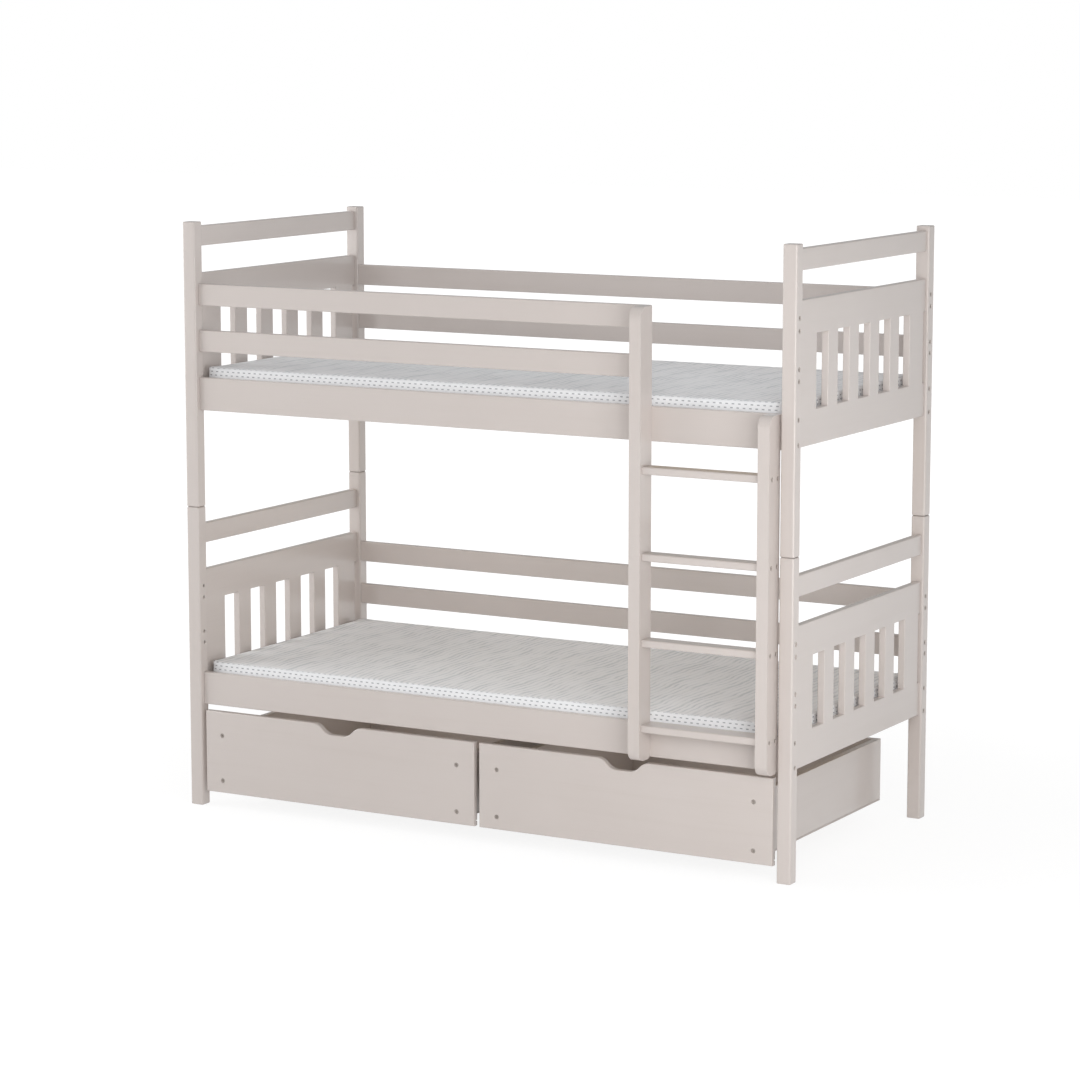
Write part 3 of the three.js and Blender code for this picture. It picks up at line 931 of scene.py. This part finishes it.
@dataclass
class SubAssembly:
    """What all sub-assemblies share: the workshop, their body and the rounds of their boards."""

    shop: Workshop
    body: str = "frame"
    board_edge: float = 3 * MM
    end_edge: float = 0.8 * MM

    def timber(
        self, name: str, low: Vector, high: Vector, axis: Axis, edge: float | None = None, steps: int = 4
    ) -> Object:
        """Models a board with its long edges rounded and its ends crisp.

        Args:
            name: The board's name.
            low: One of its corners.
            high: The corner opposite that one.
            axis: The way the board runs.
            edge: The radius of its long edges.
            steps: How many faces round such an edge.

        Returns:
            The board.
        """
        made = block(name, low, high)
        round_edges(made, edge or self.board_edge, steps, runs(axis))
        round_edges(made, self.end_edge, 2, is_sharp, at(axis, low[axis.value], high[axis.value]))
        return made

    def board(self, node: str, axis: Axis, edge: float | None = None) -> Object:
        """Models a board in the place of its solid."""
        return self.timber(f"{node}_made", *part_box(node), axis, edge)

    def dress(self, piece: Object, axis: Axis, node: str) -> None:
        """Paints a board and puts it in place of its solid."""
        finish(piece, self.shop.paint[axis], self.body, Slot.PAINT, node)

    def drive_screws(self, piece: Object, places: Iterable[Vector], facing: Vector) -> None:
        """Bores countersunk holes in a face and sets a screw in each.

        Args:
            piece: The board.
            places: Points on the face.
            facing: The way the face looks.
        """
        moves = self.shop.bore(piece, places, facing)
        screws = join(f"{piece.name}_screws", [copy_of(self.shop.screw, "screw", move) for move in moves])
        finish(screws, self.shop.lacquer, self.body, Slot.PAINT)


@dataclass
class Posts(SubAssembly):
    """The eight posts, which meet in pairs at a V joint over half height."""

    edge: float = 5 * MM
    joint_cut: float = 3 * MM
    joint_gap: float = 0.3 * MM
    top_round: float = 3 * MM
    screw_setback: float = 21 * MM
    screw_heights: tuple[float, ...] = (629 * MM, 596.5 * MM, 499 * MM, 468 * MM, 370.5 * MM, 306 * MM)
    rail_screws: int = 4
    bed_rise: float = 836 * MM
    bore: float = 5 * MM

    def build(self) -> None:
        """Models one post of each level and sets it at all four corners."""
        for level in LEVELS:
            first = f"{level}_post_front_left"
            master = self.post(first, level == "lower")
            for side in SIDES:
                for end in ENDS:
                    node = f"{level}_post_{side}_{end}"
                    made = copy_of(master, f"{node}_made", self.corner_change(first, node))
                    self.bore_post(made, node)
                    self.dress(made, Axis.Z, node)
            put_away(master)

    def corner_change(self, first: str, node: str) -> Matrix:
        """The reflections that bring the first post to another corner.

        Args:
            first: The first post's solid.
            node: The solid at the other corner.

        Returns:
            The reflections as one matrix.
        """
        here, there = centre_of(first), centre_of(node)
        change = Matrix.Identity(4)
        for axis in (Axis.X, Axis.Y):
            if abs(here[axis.value] - there[axis.value]) > SMALL:
                change = mirror(axis, (here[axis.value] + there[axis.value]) / 2) @ change
        return change

    def post(self, node: str, lower: bool) -> Object:
        """Models one post with its joint's cut. A lower post ends there, as its dowel is hidden in the joint.

        Args:
            node: The solid's name.
            lower: Whether it is a lower post.

        Returns:
            The post.
        """
        low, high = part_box(node)
        joint, end = low.z, high.z
        if lower:
            joint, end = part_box(node.replace("lower", "upper"))[0].z - self.joint_gap, low.z
        made = block("post_master", low, (high.x, high.y, max(joint, end)))
        round_edges(made, self.edge, 5, runs(Axis.Z))
        round_edges(made, self.joint_cut, 1, is_sharp, at(Axis.Z, joint))
        round_edges(made, self.top_round, 3, is_sharp, at(Axis.Z, end))
        return made

    def bore_post(self, made: Object, node: str) -> None:
        """Bores a post's screw holes, those of the rails and, on the lower front posts, the spare ones too.

        Args:
            made: The post.
            node: The solid's name.
        """
        level, _, side, end = node.split("_")
        low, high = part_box(node)
        rise = 0 if level == "lower" else self.bed_rise
        outer_x, facing = outer_face(node, end)
        y = low.y + self.screw_setback if side == "front" else high.y - self.screw_setback
        places = [Vector((outer_x, y, height + rise)) for height in self.screw_heights]
        if (level, side) == ("lower", "front"):
            spare, places = places[: self.rail_screws], places[self.rail_screws :]
            length = 2 * (high.x - low.x)
            middles = [Vector(((low.x + high.x) / 2, y, place.z)) for place in spare]
            cut(made, join("bores", [rod("bore", middle, self.bore, length, Axis.X) for middle in middles]))
            self.shop.bore(made, spare, facing)
        self.drive_screws(made, places, facing)


@dataclass
class BedEnds(SubAssembly):
    """The slotted end panels and the rails over them."""

    slots: int = 5
    slot_width: float = 71 * MM
    slat_width: float = 60 * MM
    slot_bottom: float = 92 * MM
    slot_height: float = 194 * MM
    end_gap: float = 11.5 * MM
    inner_edge: float = 2.6 * MM

    def build(self) -> None:
        """Models one panel and one rail, and sets them at both ends of both beds."""
        self.repeat("end_panel", self.panel)
        self.repeat("end_top_rail", lambda node: self.board(node, Axis.Y))

    def repeat(self, kind: str, model: Callable[[str], Object]) -> None:
        """Sets copies of one model at all four ends.

        Args:
            kind: What the solids are called between the level and the end.
            model: Models the piece for a named solid.
        """
        first = f"lower_{kind}_left"
        master = model(first)
        master.name = f"{kind}_master"
        for level in LEVELS:
            for end in ENDS:
                node = f"{level}_{kind}_{end}"
                self.dress(moved_copy(master, f"{node}_made", first, node), Axis.Y, node)
        put_away(master)

    def panel(self, node: str) -> Object:
        """Cuts the slots in a panel and rounds all its edges on both faces.

        Args:
            node: The solid's name.

        Returns:
            The panel.
        """
        low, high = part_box(node)
        made = block("panel_master", low, high)
        bottom = low.z + self.slot_bottom
        top = bottom + self.slot_height
        middle, half = (low.y + high.y) / 2, self.slot_width / 2
        reach = (self.slots - 1) / 2 * (self.slot_width + self.slat_width)
        spans = [(y - half, y + half) for y in spread(middle - reach, middle + reach, self.slots)]
        spans += [(low.y - OVERRUN, low.y + self.end_gap), (high.y - self.end_gap, high.y + OVERRUN)]
        cutters = [
            block("slot", (low.x - OVERRUN, start, bottom), (high.x + OVERRUN, stop, top))
            for start, stop in spans
        ]
        cut(made, join("slots", cutters))
        clean_flats(made)
        ends = (low.y, high.y)
        round_edges(made, self.inner_edge, 4, is_sharp, at(Axis.X, low.x, high.x), off(Axis.Y, *ends))
        round_edges(made, self.end_edge, 2, is_sharp, at(Axis.Y, *ends))
        return made


@dataclass
class LongRails(SubAssembly):
    """The side rails with their ledgers, the wall-side rails and the guard rails."""

    ledger_height: float = 20 * MM
    ledger_width: float = 22 * MM
    ledger_edge: float = 1.5 * MM
    ledger_screws: int = 6
    ledger_screw_end: float = 120 * MM

    def build(self) -> None:
        """Models the rails of both beds."""
        for level in LEVELS:
            for side in SIDES:
                self.side_rail(f"{level}_side_rail_{side}", side)
            self.pair(f"{level}_back_rail")
        self.pair("guard_rail")

    def pair(self, kind: str) -> None:
        """Models the low and the high rail of one kind."""
        for node in (f"{kind}_low", f"{kind}_high"):
            self.dress(self.board(node, Axis.X), Axis.X, node)

    def side_rail(self, node: str, side: str) -> None:
        """Models a side rail and the ledger that is screwed to its inner face.

        Args:
            node: The solid's name.
            side: Whether it is the front or the back rail.
        """
        low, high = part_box(node)
        inward = Axis.Y.vector if side == "front" else -Axis.Y.vector
        outer, face = (low.y, high.y) if side == "front" else (high.y, low.y)
        inner = face - inward.y * self.ledger_width
        rail = self.timber("rail", Vector((low.x, outer, low.z)), Vector((high.x, inner, high.z)), Axis.X)
        ledger_top = low.z + self.ledger_height
        ledger = block(f"{node}_ledger", (low.x, inner, low.z), (high.x, face, ledger_top))
        round_edges(ledger, self.ledger_edge, 2, is_sharp)
        row = spread(low.x + self.ledger_screw_end, high.x - self.ledger_screw_end, self.ledger_screws)
        places = [Vector((x, face, low.z + self.ledger_height / 2)) for x in row]
        self.drive_screws(ledger, places, inward)
        self.dress(join(f"{node}_made", [rail, ledger]), Axis.X, node)


@dataclass
class Ladder(SubAssembly):
    """Two stiles rounded at their ends, and four rungs screwed between them."""

    stile_round: float = 30 * MM
    stile_heel: float = 13 * MM
    stile_edge: float = 5 * MM
    stile_back_edge: float = 1.2 * MM
    rung_edge: float = 4 * MM
    rungs: int = 4
    screw_inset: tuple[float, float] = (18 * MM, 51 * MM)

    def build(self) -> None:
        """Models the stiles, the rungs and their screws."""
        rungs = [f"ladder_rung_{n + 1}" for n in range(self.rungs)]
        for end in ENDS:
            node = f"ladder_stile_{end}"
            made = self.stile(node)
            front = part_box(node)[0].y
            outer_x, facing = outer_face(node, end)
            heights = [centre_of(rung).z for rung in rungs]
            places = [Vector((outer_x, front + inset, z)) for z in heights for inset in self.screw_inset]
            self.drive_screws(made, places, facing)
            self.dress(made, Axis.Z, node)
        master = self.board(rungs[0], Axis.X, self.rung_edge)
        for node in rungs:
            self.dress(moved_copy(master, f"{node}_turned", rungs[0], node), Axis.X, node)
        put_away(master)

    def stile(self, node: str) -> Object:
        """Models a stile: round at the front and at the bottom, square where its top meets the rail.

        Args:
            node: The solid's name.

        Returns:
            The stile.
        """
        low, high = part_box(node)
        made = block(f"{node}_made", low, high)
        rims = at(Axis.X, low.x, high.x)
        back = at(Axis.Y, high.y)
        round_edges(made, self.stile_round, 10, runs(Axis.X), at(Axis.Y, low.y))
        round_edges(made, self.stile_heel, 6, runs(Axis.X), back, at(Axis.Z, low.z))
        round_edges(made, self.stile_back_edge, 2, is_sharp, rims, back)
        round_edges(made, self.stile_edge, 4, is_sharp, rims, off(Axis.Y, high.y))
        return made


@dataclass
class SlattedBases(SubAssembly):
    """The bare slats under each mattress, stapled to two straps."""

    slats: int = 14
    slat_width: float = 70 * MM
    slat_thickness: float = 16 * MM
    slat_edge: float = 2.5 * MM
    strap_width: float = 25 * MM
    strap_inset: float = 170 * MM
    strap_thickness: float = 1.5 * MM
    staple_wire: float = 0.6 * MM
    staple_span: float = 11 * MM
    staple_inset: float = 14 * MM

    def build(self) -> None:
        """Models one base with its straps and staples, and copies it to the other bed."""
        first = "lower_slatted_base"
        low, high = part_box(first)
        centres = spread(low.x + self.slat_width / 2, high.x - self.slat_width / 2, self.slats)
        masters = [self.row_of_slats(low, high, centres), *self.straps(low, high, centres)]
        looks = (
            ("slats", self.shop.pine, Slot.PINE),
            ("straps", self.shop.webbing, Slot.COVER),
            ("staples", self.shop.steel, Slot.PINE),
        )
        for level in LEVELS:
            node = f"{level}_slatted_base"
            for master, (kind, material, slot) in zip(masters, looks):
                made = moved_copy(master, f"{node}_{kind}", first, node)
                finish(made, material, self.body, slot, node)
        put_away(*masters)

    def row_of_slats(self, low: Vector, high: Vector, centres: list[float]) -> Object:
        """Models one slat and copies it along the bed.

        Args:
            low: The base's lowest corner.
            high: Its highest corner.
            centres: The places of the slats along the bed.

        Returns:
            The row of slats.
        """
        half = self.slat_width / 2
        bottom = high.z - self.slat_thickness
        corners = Vector((centres[0] - half, low.y, bottom)), Vector((centres[0] + half, high.y, high.z))
        slat = self.timber("slat", *corners, Axis.Y, self.slat_edge, 3)
        row = [copy_of(slat, "slat", Matrix.Translation((x - centres[0], 0, 0))) for x in centres]
        put_away(slat)
        return join("slats", row)

    def straps(self, low: Vector, high: Vector, centres: list[float]) -> tuple[Object, Object]:
        """Models the two straps, and two staples where each crosses a slat.

        Args:
            low: The base's lowest corner.
            high: Its highest corner.
            centres: The places of the slats along the bed.

        Returns:
            The straps and the staples.
        """
        top = high.z - self.slat_thickness
        bottom = top - self.strap_thickness
        half = self.strap_width / 2
        straps, staples = [], []
        for y in (low.y + self.strap_inset, high.y - self.strap_inset):
            ends = (low.x + self.end_edge, y - half, bottom), (high.x - self.end_edge, y + half, top)
            strap = block("strap", *ends)
            round_edges(strap, self.strap_thickness / 3, 2, runs(Axis.X))
            straps.append(strap)
            staples += [
                rod("staple", Vector((x + inset, y, bottom)), self.staple_wire, self.staple_span, Axis.Y, 6)
                for x in centres
                for inset in (-self.staple_inset, self.staple_inset)
            ]
        return join("straps", straps), join("staples", staples)


@dataclass
class Mattress(SubAssembly):
    """A foam mattress in a knitted cover, padded by a cloth simulation under pressure."""

    start_inset: float = 1.5 * MM
    swell: float = 5 * MM
    corner: float = 24 * MM
    edge: float = 5 * MM
    voxel: float = 10 * MM
    pressure: float = 4.0
    frames: int = 4
    crisp_reach: float = 18 * MM
    crispness: float = 9.0
    lift: float = 4 * MM
    crown: float = 2.5 * MM
    crown_softness: float = 1 * MM
    seam_depth: float = 0.9 * MM
    seam_width: float = 4 * MM
    seam_from_edge: float = 13 * MM
    groove_depth: float = 1 * MM
    rib_depth: float = 0.25 * MM

    def build(self) -> None:
        """Pads one mattress and copies it to the other bed."""
        first = "lower_mattress"
        master = self.pad(first)
        for level in LEVELS:
            node = f"{level}_mattress"
            low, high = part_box(node)
            made = moved_copy(master, f"{node}_cover", first, node)
            cover = KnitCover(base=low.z, height=high.z - low.z).material()
            finish(made, cover, self.body, Slot.COVER, node, soft=True)
        put_away(master)

    def pad(self, node: str) -> Object:
        """Models the mattress a little small, and lets it swell to its size.

        Args:
            node: The solid's name.

        Returns:
            The padded mattress.
        """
        low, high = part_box(node)
        inset = Vector([self.start_inset] * 3)
        made = block("mattress_master", low + inset, high - inset)
        round_edges(made, self.corner, 6, runs(Axis.Z))
        round_edges(made, self.edge, 4, is_sharp, at(Axis.Z, low.z + inset.z, high.z - inset.z))
        apply_modifier(made, "REMESH", mode="VOXEL", voxel_size=self.voxel)
        self.swell_up(made, low.z)
        apply_modifier(made, "SUBSURF", levels=1, render_levels=1)
        self.tape_edges(made)
        self.draw_flat(made, low, high)
        self.sew(made, low, high)
        return made

    def swell_up(self, piece: Object, rest: float) -> None:
        """Runs the cloth simulation, and keeps each point within the swell of where it started.

        Args:
            piece: The mattress before it swells.
            rest: The height of the slats, which the underside lies flat on.
        """
        start = [vert.co.copy() for vert in piece.data.vertices]
        cloth = piece.modifiers.new("cloth", "CLOTH")
        cloth.settings.use_pressure = True
        cloth.settings.uniform_pressure_force = self.pressure
        cloth.settings.effector_weights.gravity = 0
        scene = bpy.context.scene
        for number in range(1, self.frames + 1):
            scene.frame_set(number)
        swollen = piece.evaluated_get(bpy.context.evaluated_depsgraph_get()).data
        places = [vert.co.copy() for vert in swollen.vertices]
        piece.modifiers.remove(cloth)
        scene.frame_set(1)
        for vert, before, after in zip(piece.data.vertices, start, places):
            move = after - before
            if move.length > SMALL:
                move *= self.swell * math.tanh(move.length / self.swell) / move.length
            vert.co = before + move
            vert.co.z = max(vert.co.z, rest)
        piece.data.update()

    def tape_edges(self, piece: Object) -> None:
        """Squares up the soft edges round the top and the underside, where the border's tape is sewn on.

        Args:
            piece: The mattress after it swells.
        """
        places = [vert.co for vert in piece.data.vertices]
        low = Vector([min(place[n] for place in places) for n in range(3)])
        high = Vector([max(place[n] for place in places) for n in range(3)])
        middle, half, reach = (low + high) / 2, (high - low) / 2, self.crisp_reach
        corner = self.corner + reach
        for vert in piece.data.vertices:
            from_middle = vert.co - middle
            beyond = Vector([max(abs(from_middle[n]) - half[n] + corner, 0) for n in range(2)])
            out = beyond.length - corner + reach
            up = abs(from_middle.z) - half.z + reach
            if out <= 0 or up <= 0:
                continue
            stretch = math.hypot(out, up) / (out**self.crispness + up**self.crispness) ** (1 / self.crispness)
            move = beyond.normalized() * out * (stretch - 1)
            vert.co.x += math.copysign(move.x, from_middle.x)
            vert.co.y += math.copysign(move.y, from_middle.y)
            vert.co.z += math.copysign(up * (stretch - 1), from_middle.z)
        piece.data.update()

    def draw_flat(self, piece: Object, low: Vector, high: Vector) -> None:
        """Lifts the upper half a little and draws its crown flat under the taut cover.

        Args:
            piece: The mattress after it swells.
            low: The lowest corner of its solid.
            high: The highest corner of its solid.
        """
        middle, top = (low.z + high.z) / 2, high.z + self.crown
        for vert in piece.data.vertices:
            share = (vert.co.z - middle) / (high.z - middle)
            if share > 0:
                under = top - vert.co.z - self.lift * share
                vert.co.z = top - self.crown_softness * math.log1p(math.exp(under / self.crown_softness))
            else:
                vert.co.z = max(vert.co.z, low.z)
        piece.data.update()

    def sew(self, piece: Object, low: Vector, high: Vector) -> None:
        """Pulls the border's two seams in, and presses the cover's pattern into the top and underside.

        Args:
            piece: The mattress after it swells.
            low: The lowest corner of its solid.
            high: The highest corner of its solid.
        """
        seams = (low.z + self.seam_from_edge, high.z - self.seam_from_edge)
        normals = [vert.normal.copy() for vert in piece.data.vertices]
        for vert, normal in zip(piece.data.vertices, normals):
            pull = sum(math.exp(-(((vert.co.z - seam) / self.seam_width) ** 2)) for seam in seams)
            outward = Vector((normal.x, normal.y, 0))
            vert.co -= outward * pull * self.seam_depth
            vert.co -= normal * self.pattern_depth(vert.co) * normal.z**2
        piece.data.update()

    def pattern_depth(self, place: Vector) -> float:
        """How far the grooves and ribs press the cover in.

        Args:
            place: A place on the cover.

        Returns:
            The depth.
        """
        line = place.x + sum(
            sway * math.sin(TURN * place.y / length + drift * place.x) for length, drift, sway in COVER_WAVES)
        from_groove = abs((line / GROOVE_PITCH) % 1 - 0.5) * GROOVE_PITCH
        groove = math.exp(-((from_groove / (GROOVE_WIDTH / 2)) ** 2))
        rib = (1 - math.sin(TURN * line / RIB_PITCH)) / 2
        return groove * self.groove_depth + rib * self.rib_depth


@dataclass
class Drawer(SubAssembly):
    """One rolling drawer: its front with a hand hold, its box, its bearers, axles and wheels."""

    side_edge: float = 1.5 * MM
    bottom_edge: float = 0.5 * MM
    hold_top: float = 128 * MM
    hold_bottom: float = 68 * MM
    hold_depth: float = 28 * MM
    hold_round: float = 14 * MM
    groove_depth: float = 8 * MM
    groove_height: float = 4.6 * MM
    groove_bottom: float = 10.9 * MM
    screw_end: float = 55 * MM
    screw_heights: tuple[float, float] = (78 * MM, 208 * MM)
    bearer_edge: float = 2 * MM
    pocket_width: float = 20 * MM
    pocket_end_room: float = 4 * MM
    pocket_top: float = 48 * MM
    axle_radius: float = 3 * MM
    axle_reach: float = 4 * MM
    axle_play: float = 0.3 * MM
    # In millimetres: each point's radius, or how far it is in from the tread, and in from the hub's face.
    hub_profile: Pairs = ((8.4, 0), (9, 0.6), (9.4, 4), (17, 4), (17.6, 1.5), (18.2, 1))
    tread_profile: Pairs = ((1.6, 1), (0.5, 1.9), (0, 3.4))

    def build(self) -> None:
        """Models the drawer's pieces."""
        self.front()
        self.box_boards()
        self.bottom()
        for hand in ENDS:
            self.bearer(hand)

    def front(self) -> None:
        """Models the front: hand hold, rounded rims, a groove for the bottom, and four screws."""
        node = f"{self.body}_front"
        low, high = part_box(node)
        made = block(f"{node}_made", low, high)
        middle = (low.x + high.x) / 2
        cut(made, self.hold_cutter(low, high, middle))
        clean_flats(made)
        half = self.hold_top / 2
        lips = at(Axis.X, middle - half, middle + half)
        round_edges(made, self.hold_round, 6, runs(Axis.Y), at(Axis.Z, high.z), lips)
        round_edges(made, self.board_edge, 4, is_sharp, at(Axis.Y, low.y, high.y))
        bottom = low.z + self.groove_bottom
        groove_end = (high.x + OVERRUN, high.y + OVERRUN, bottom + self.groove_height)
        cut(made, block("groove", (low.x - OVERRUN, high.y - self.groove_depth, bottom), groove_end))
        ends = (low.x + self.screw_end, high.x - self.screw_end)
        places = [Vector((x, low.y, z)) for x in ends for z in self.screw_heights]
        self.drive_screws(made, places, -Axis.Y.vector)
        self.dress(made, Axis.X, node)

    def hold_cutter(self, low: Vector, high: Vector, middle: float) -> Object:
        """Models the cutter of the hand hold, narrower at its floor and rounded there.

        Args:
            low: The front's lowest corner.
            high: The front's highest corner.
            middle: The middle of the front, along the bed.

        Returns:
            The cutter.
        """
        half = self.hold_top / 2
        floor = high.z - self.hold_depth
        start, stop = (middle - half, low.y - OVERRUN, floor), (middle + half, high.y + OVERRUN, high.z)
        cutter = block("hold", start, stop)
        for vert in cutter.data.vertices:
            if vert.co.z < floor + SMALL:
                vert.co.x = middle + math.copysign(self.hold_bottom / 2, vert.co.x - middle)
        round_edges(cutter, self.hold_round, 6, runs(Axis.Y), at(Axis.Z, floor))
        pick_edges(cutter, at(Axis.Z, high.z))
        bpy.ops.mesh.extrude_region_move(TRANSFORM_OT_translate={"value": (0, 0, OVERRUN)})
        leave_edit()
        return cutter

    def box_boards(self) -> None:
        """Models the two sides and the back between them, glued with hidden dowels."""
        for board, axis in (("side_left", Axis.Y), ("side_right", Axis.Y), ("back", Axis.X)):
            node = f"{self.body}_{board}"
            made = block(f"{node}_made", *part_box(node))
            round_edges(made, self.side_edge, 3, runs(axis))
            self.dress(made, axis, node)

    def bottom(self) -> None:
        """Models the thin bottom board."""
        node = f"{self.body}_bottom"
        made = block(f"{node}_made", *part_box(node))
        round_edges(made, self.bottom_edge, 2, is_sharp)
        finish(made, self.shop.panel, self.body, Slot.PANEL, node)

    def bearer(self, hand: str) -> None:
        """Models a bearer with its wheel pockets, the axles in them and the wheels on those.

        Args:
            hand: Whether it is the left or the right bearer.
        """
        node = f"{self.body}_bearer_{hand}"
        low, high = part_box(node)
        made = block(f"{node}_made", low, high)
        round_edges(made, self.bearer_edge, 3, runs(Axis.Y))
        half = self.pocket_width / 2
        pockets, axles = [], []
        for place in SIDES:
            wheel = f"{self.body}_wheel_{place}_{hand}"
            wheel_low, wheel_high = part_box(wheel)
            centre, reach = (wheel_low + wheel_high) / 2, (wheel_high - wheel_low) / 2
            room = reach.y + self.pocket_end_room
            start = (centre.x - half, centre.y - room, low.z - OVERRUN)
            pockets.append(block("pocket", start, (centre.x + half, centre.y + room, self.pocket_top)))
            length = self.pocket_width + 2 * self.axle_reach
            axles.append(rod("axle", centre, self.axle_radius, length, Axis.X, 24))
            self.wheel(wheel, centre, reach.y, reach.x)
        cut(made, join("pockets", pockets))
        finish(made, self.shop.pine, self.body, Slot.PINE, node)
        finish(join(f"{node}_axles", axles), self.shop.steel, self.body, Slot.PINE, node)

    def wheel(self, node: str, centre: Vector, radius: float, half: float) -> None:
        """Turns a wheel: a crowned tread, a recessed web and a hub on its axle.

        Args:
            node: The solid's name.
            centre: The wheel's middle.
            radius: Its radius.
            half: Half of its width over the hub.
        """
        profile = [(self.axle_radius + self.axle_play, half)]
        profile += [(r * MM, half - inset * MM) for r, inset in self.hub_profile]
        profile += [(radius - drop * MM, half - inset * MM) for drop, inset in self.tread_profile]
        outline = profile + [(r, -x) for r, x in reversed(profile)]
        mesh = bpy.data.meshes.new(f"{node}_turned")
        points = [(centre.x + x, centre.y, centre.z + r) for r, x in outline]
        mesh.from_pydata(points, [(n, (n + 1) % len(points)) for n in range(len(points))], [])
        made = bpy.data.objects.new(f"{node}_turned", mesh)
        bpy.context.scene.collection.objects.link(made)
        edit_all(made)
        bpy.ops.mesh.spin(steps=32, angle=TURN, center=centre, axis=(1, 0, 0), use_auto_merge=True)
        bpy.ops.mesh.select_all(action="SELECT")
        bpy.ops.mesh.remove_doubles(threshold=SMALL)
        bpy.ops.mesh.normals_make_consistent(inside=False)
        leave_edit()
        finish(made, self.shop.plastic, node.removeprefix("drawer_"), Slot.WHEEL, node)


@dataclass(frozen=True)
class Lamp:
    """A soft square lamp: its side's length, its power in watts, and whether satin surfaces mirror it."""

    name: str
    place: Triple
    size: float
    power: float
    gloss: bool = True
    aim: Triple = (0, 0, 0.9)

    def hang(self) -> None:
        """Hangs the lamp where it shines on what it aims at."""
        data = bpy.data.lights.new(self.name, "AREA")
        data.shape = "SQUARE"
        data.size = self.size
        data.energy = self.power
        lamp = bpy.data.objects.new(f"{self.name}_lamp", data)
        lamp.location = self.place
        lamp.rotation_euler = (Vector(self.aim) - lamp.location).to_track_quat("-Z", "Y").to_euler()
        lamp.visible_camera = False
        lamp.visible_glossy = self.gloss
        bpy.context.scene.collection.objects.link(lamp)


@dataclass
class Studio:
    """A plain pale floor, soft lamps and the camera."""

    place: Triple = (4.6234, -8.2513, 2.2411)
    azimuth: float = 29.449
    tilt: float = 8.814
    lens: float = 114.67
    sight: float = 100.0
    floor_size: float = 60.0
    floor_tone: tuple[float, ...] = (0.85, 0.85, 0.85, 1)
    floor_glow: float = 1.1
    near_glow_share: float = 0.8
    near: float = 1.0
    far: float = 3.0
    world_strength: float = 0.43
    lamps: tuple[Lamp, ...] = (
        Lamp("key", (2.6, -4.2, 2.2), size=2.6, power=54, gloss=False),
        Lamp("right", (3.0, -2.2, 0.9), size=1.6, power=33),
        Lamp("left", (-3.4, -1.6, 1.8), size=2.6, power=50),
        Lamp("top", (0, -0.2, 3.8), size=3.0, power=10),
        Lamp("back", (-0.5, 4.2, 0.8), size=2.0, power=25, gloss=False),
        Lamp("over_left_drawer", (-0.45, 0, 0.286), size=0.6, power=0.5, gloss=False, aim=(-0.45, 0, 0)),
        Lamp("over_right_drawer", (0.45, 0, 0.286), size=0.6, power=0.5, gloss=False, aim=(0.45, 0, 0)),
    )

    def build(self) -> None:
        """Lays the floor, hangs the lamps and sets the camera."""
        self.floor()
        self.world()
        for lamp in self.lamps:
            lamp.hang()
        self.camera()

    def floor(self) -> None:
        """Lays a white floor that keeps the bed's shadow."""
        stand_alone()
        bpy.ops.mesh.primitive_plane_add(size=self.floor_size)
        floor = settle("floor")
        graph = Finish("floor", Roughness=0.9, Base_Color=self.floor_tone)
        glow = graph.node("ShaderNodeEmission", inputs={"Color": WHITE, "Strength": self.floor_glow})
        seen = graph.rays("Is Camera Ray", "Is Glossy Ray", "Is Transmission Ray")
        x, y, _ = graph.axes(graph.place())
        far = (x * x + y * y).step(self.near**2, self.far**2)
        graph.blend(seen * (self.near_glow_share + (1 - self.near_glow_share) * far), graph.shader, glow)
        floor.data.materials.append(graph.material)

    def world(self) -> None:
        """Lights the scene softly all round, and shows white to the camera."""
        world = bpy.data.worlds.new("studio")
        bpy.context.scene.world = world
        world.use_nodes = True
        graph = Graph(world.node_tree, "ShaderNodeOutputWorld")
        soft, white = [
            graph.node("ShaderNodeBackground", inputs={"Color": WHITE, "Strength": strength})
            for strength in (self.world_strength, 1)
        ]
        graph.blend(graph.rays("Is Camera Ray"), soft, white)

    def camera(self) -> None:
        """Sets the camera where the bed is seen as in the photograph."""
        data = bpy.data.cameras.new("camera")
        data.lens = self.lens
        data.clip_end = self.sight
        camera = bpy.data.objects.new("camera", data)
        camera.location = self.place
        camera.rotation_euler = (math.radians(90 - self.tilt), 0, math.radians(self.azimuth))
        bpy.context.scene.collection.objects.link(camera)
        bpy.context.scene.camera = camera


def main() -> None:
    """Loads the frame, builds the bed's sub-assemblies and the studio."""
    logging.basicConfig(level=logging.INFO, format="%(message)s")
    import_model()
    bpy.context.scene.view_settings.view_transform = "Standard"
    shop = Workshop()
    for sub_assembly in (Posts, BedEnds, LongRails, Ladder, SlattedBases, Mattress):
        sub_assembly(shop).build()
    for end in ENDS:
        Drawer(shop, f"drawer_{end}").build()
    shop.clear_away()
    Studio().build()


if __name__ == "__main__":
    main()
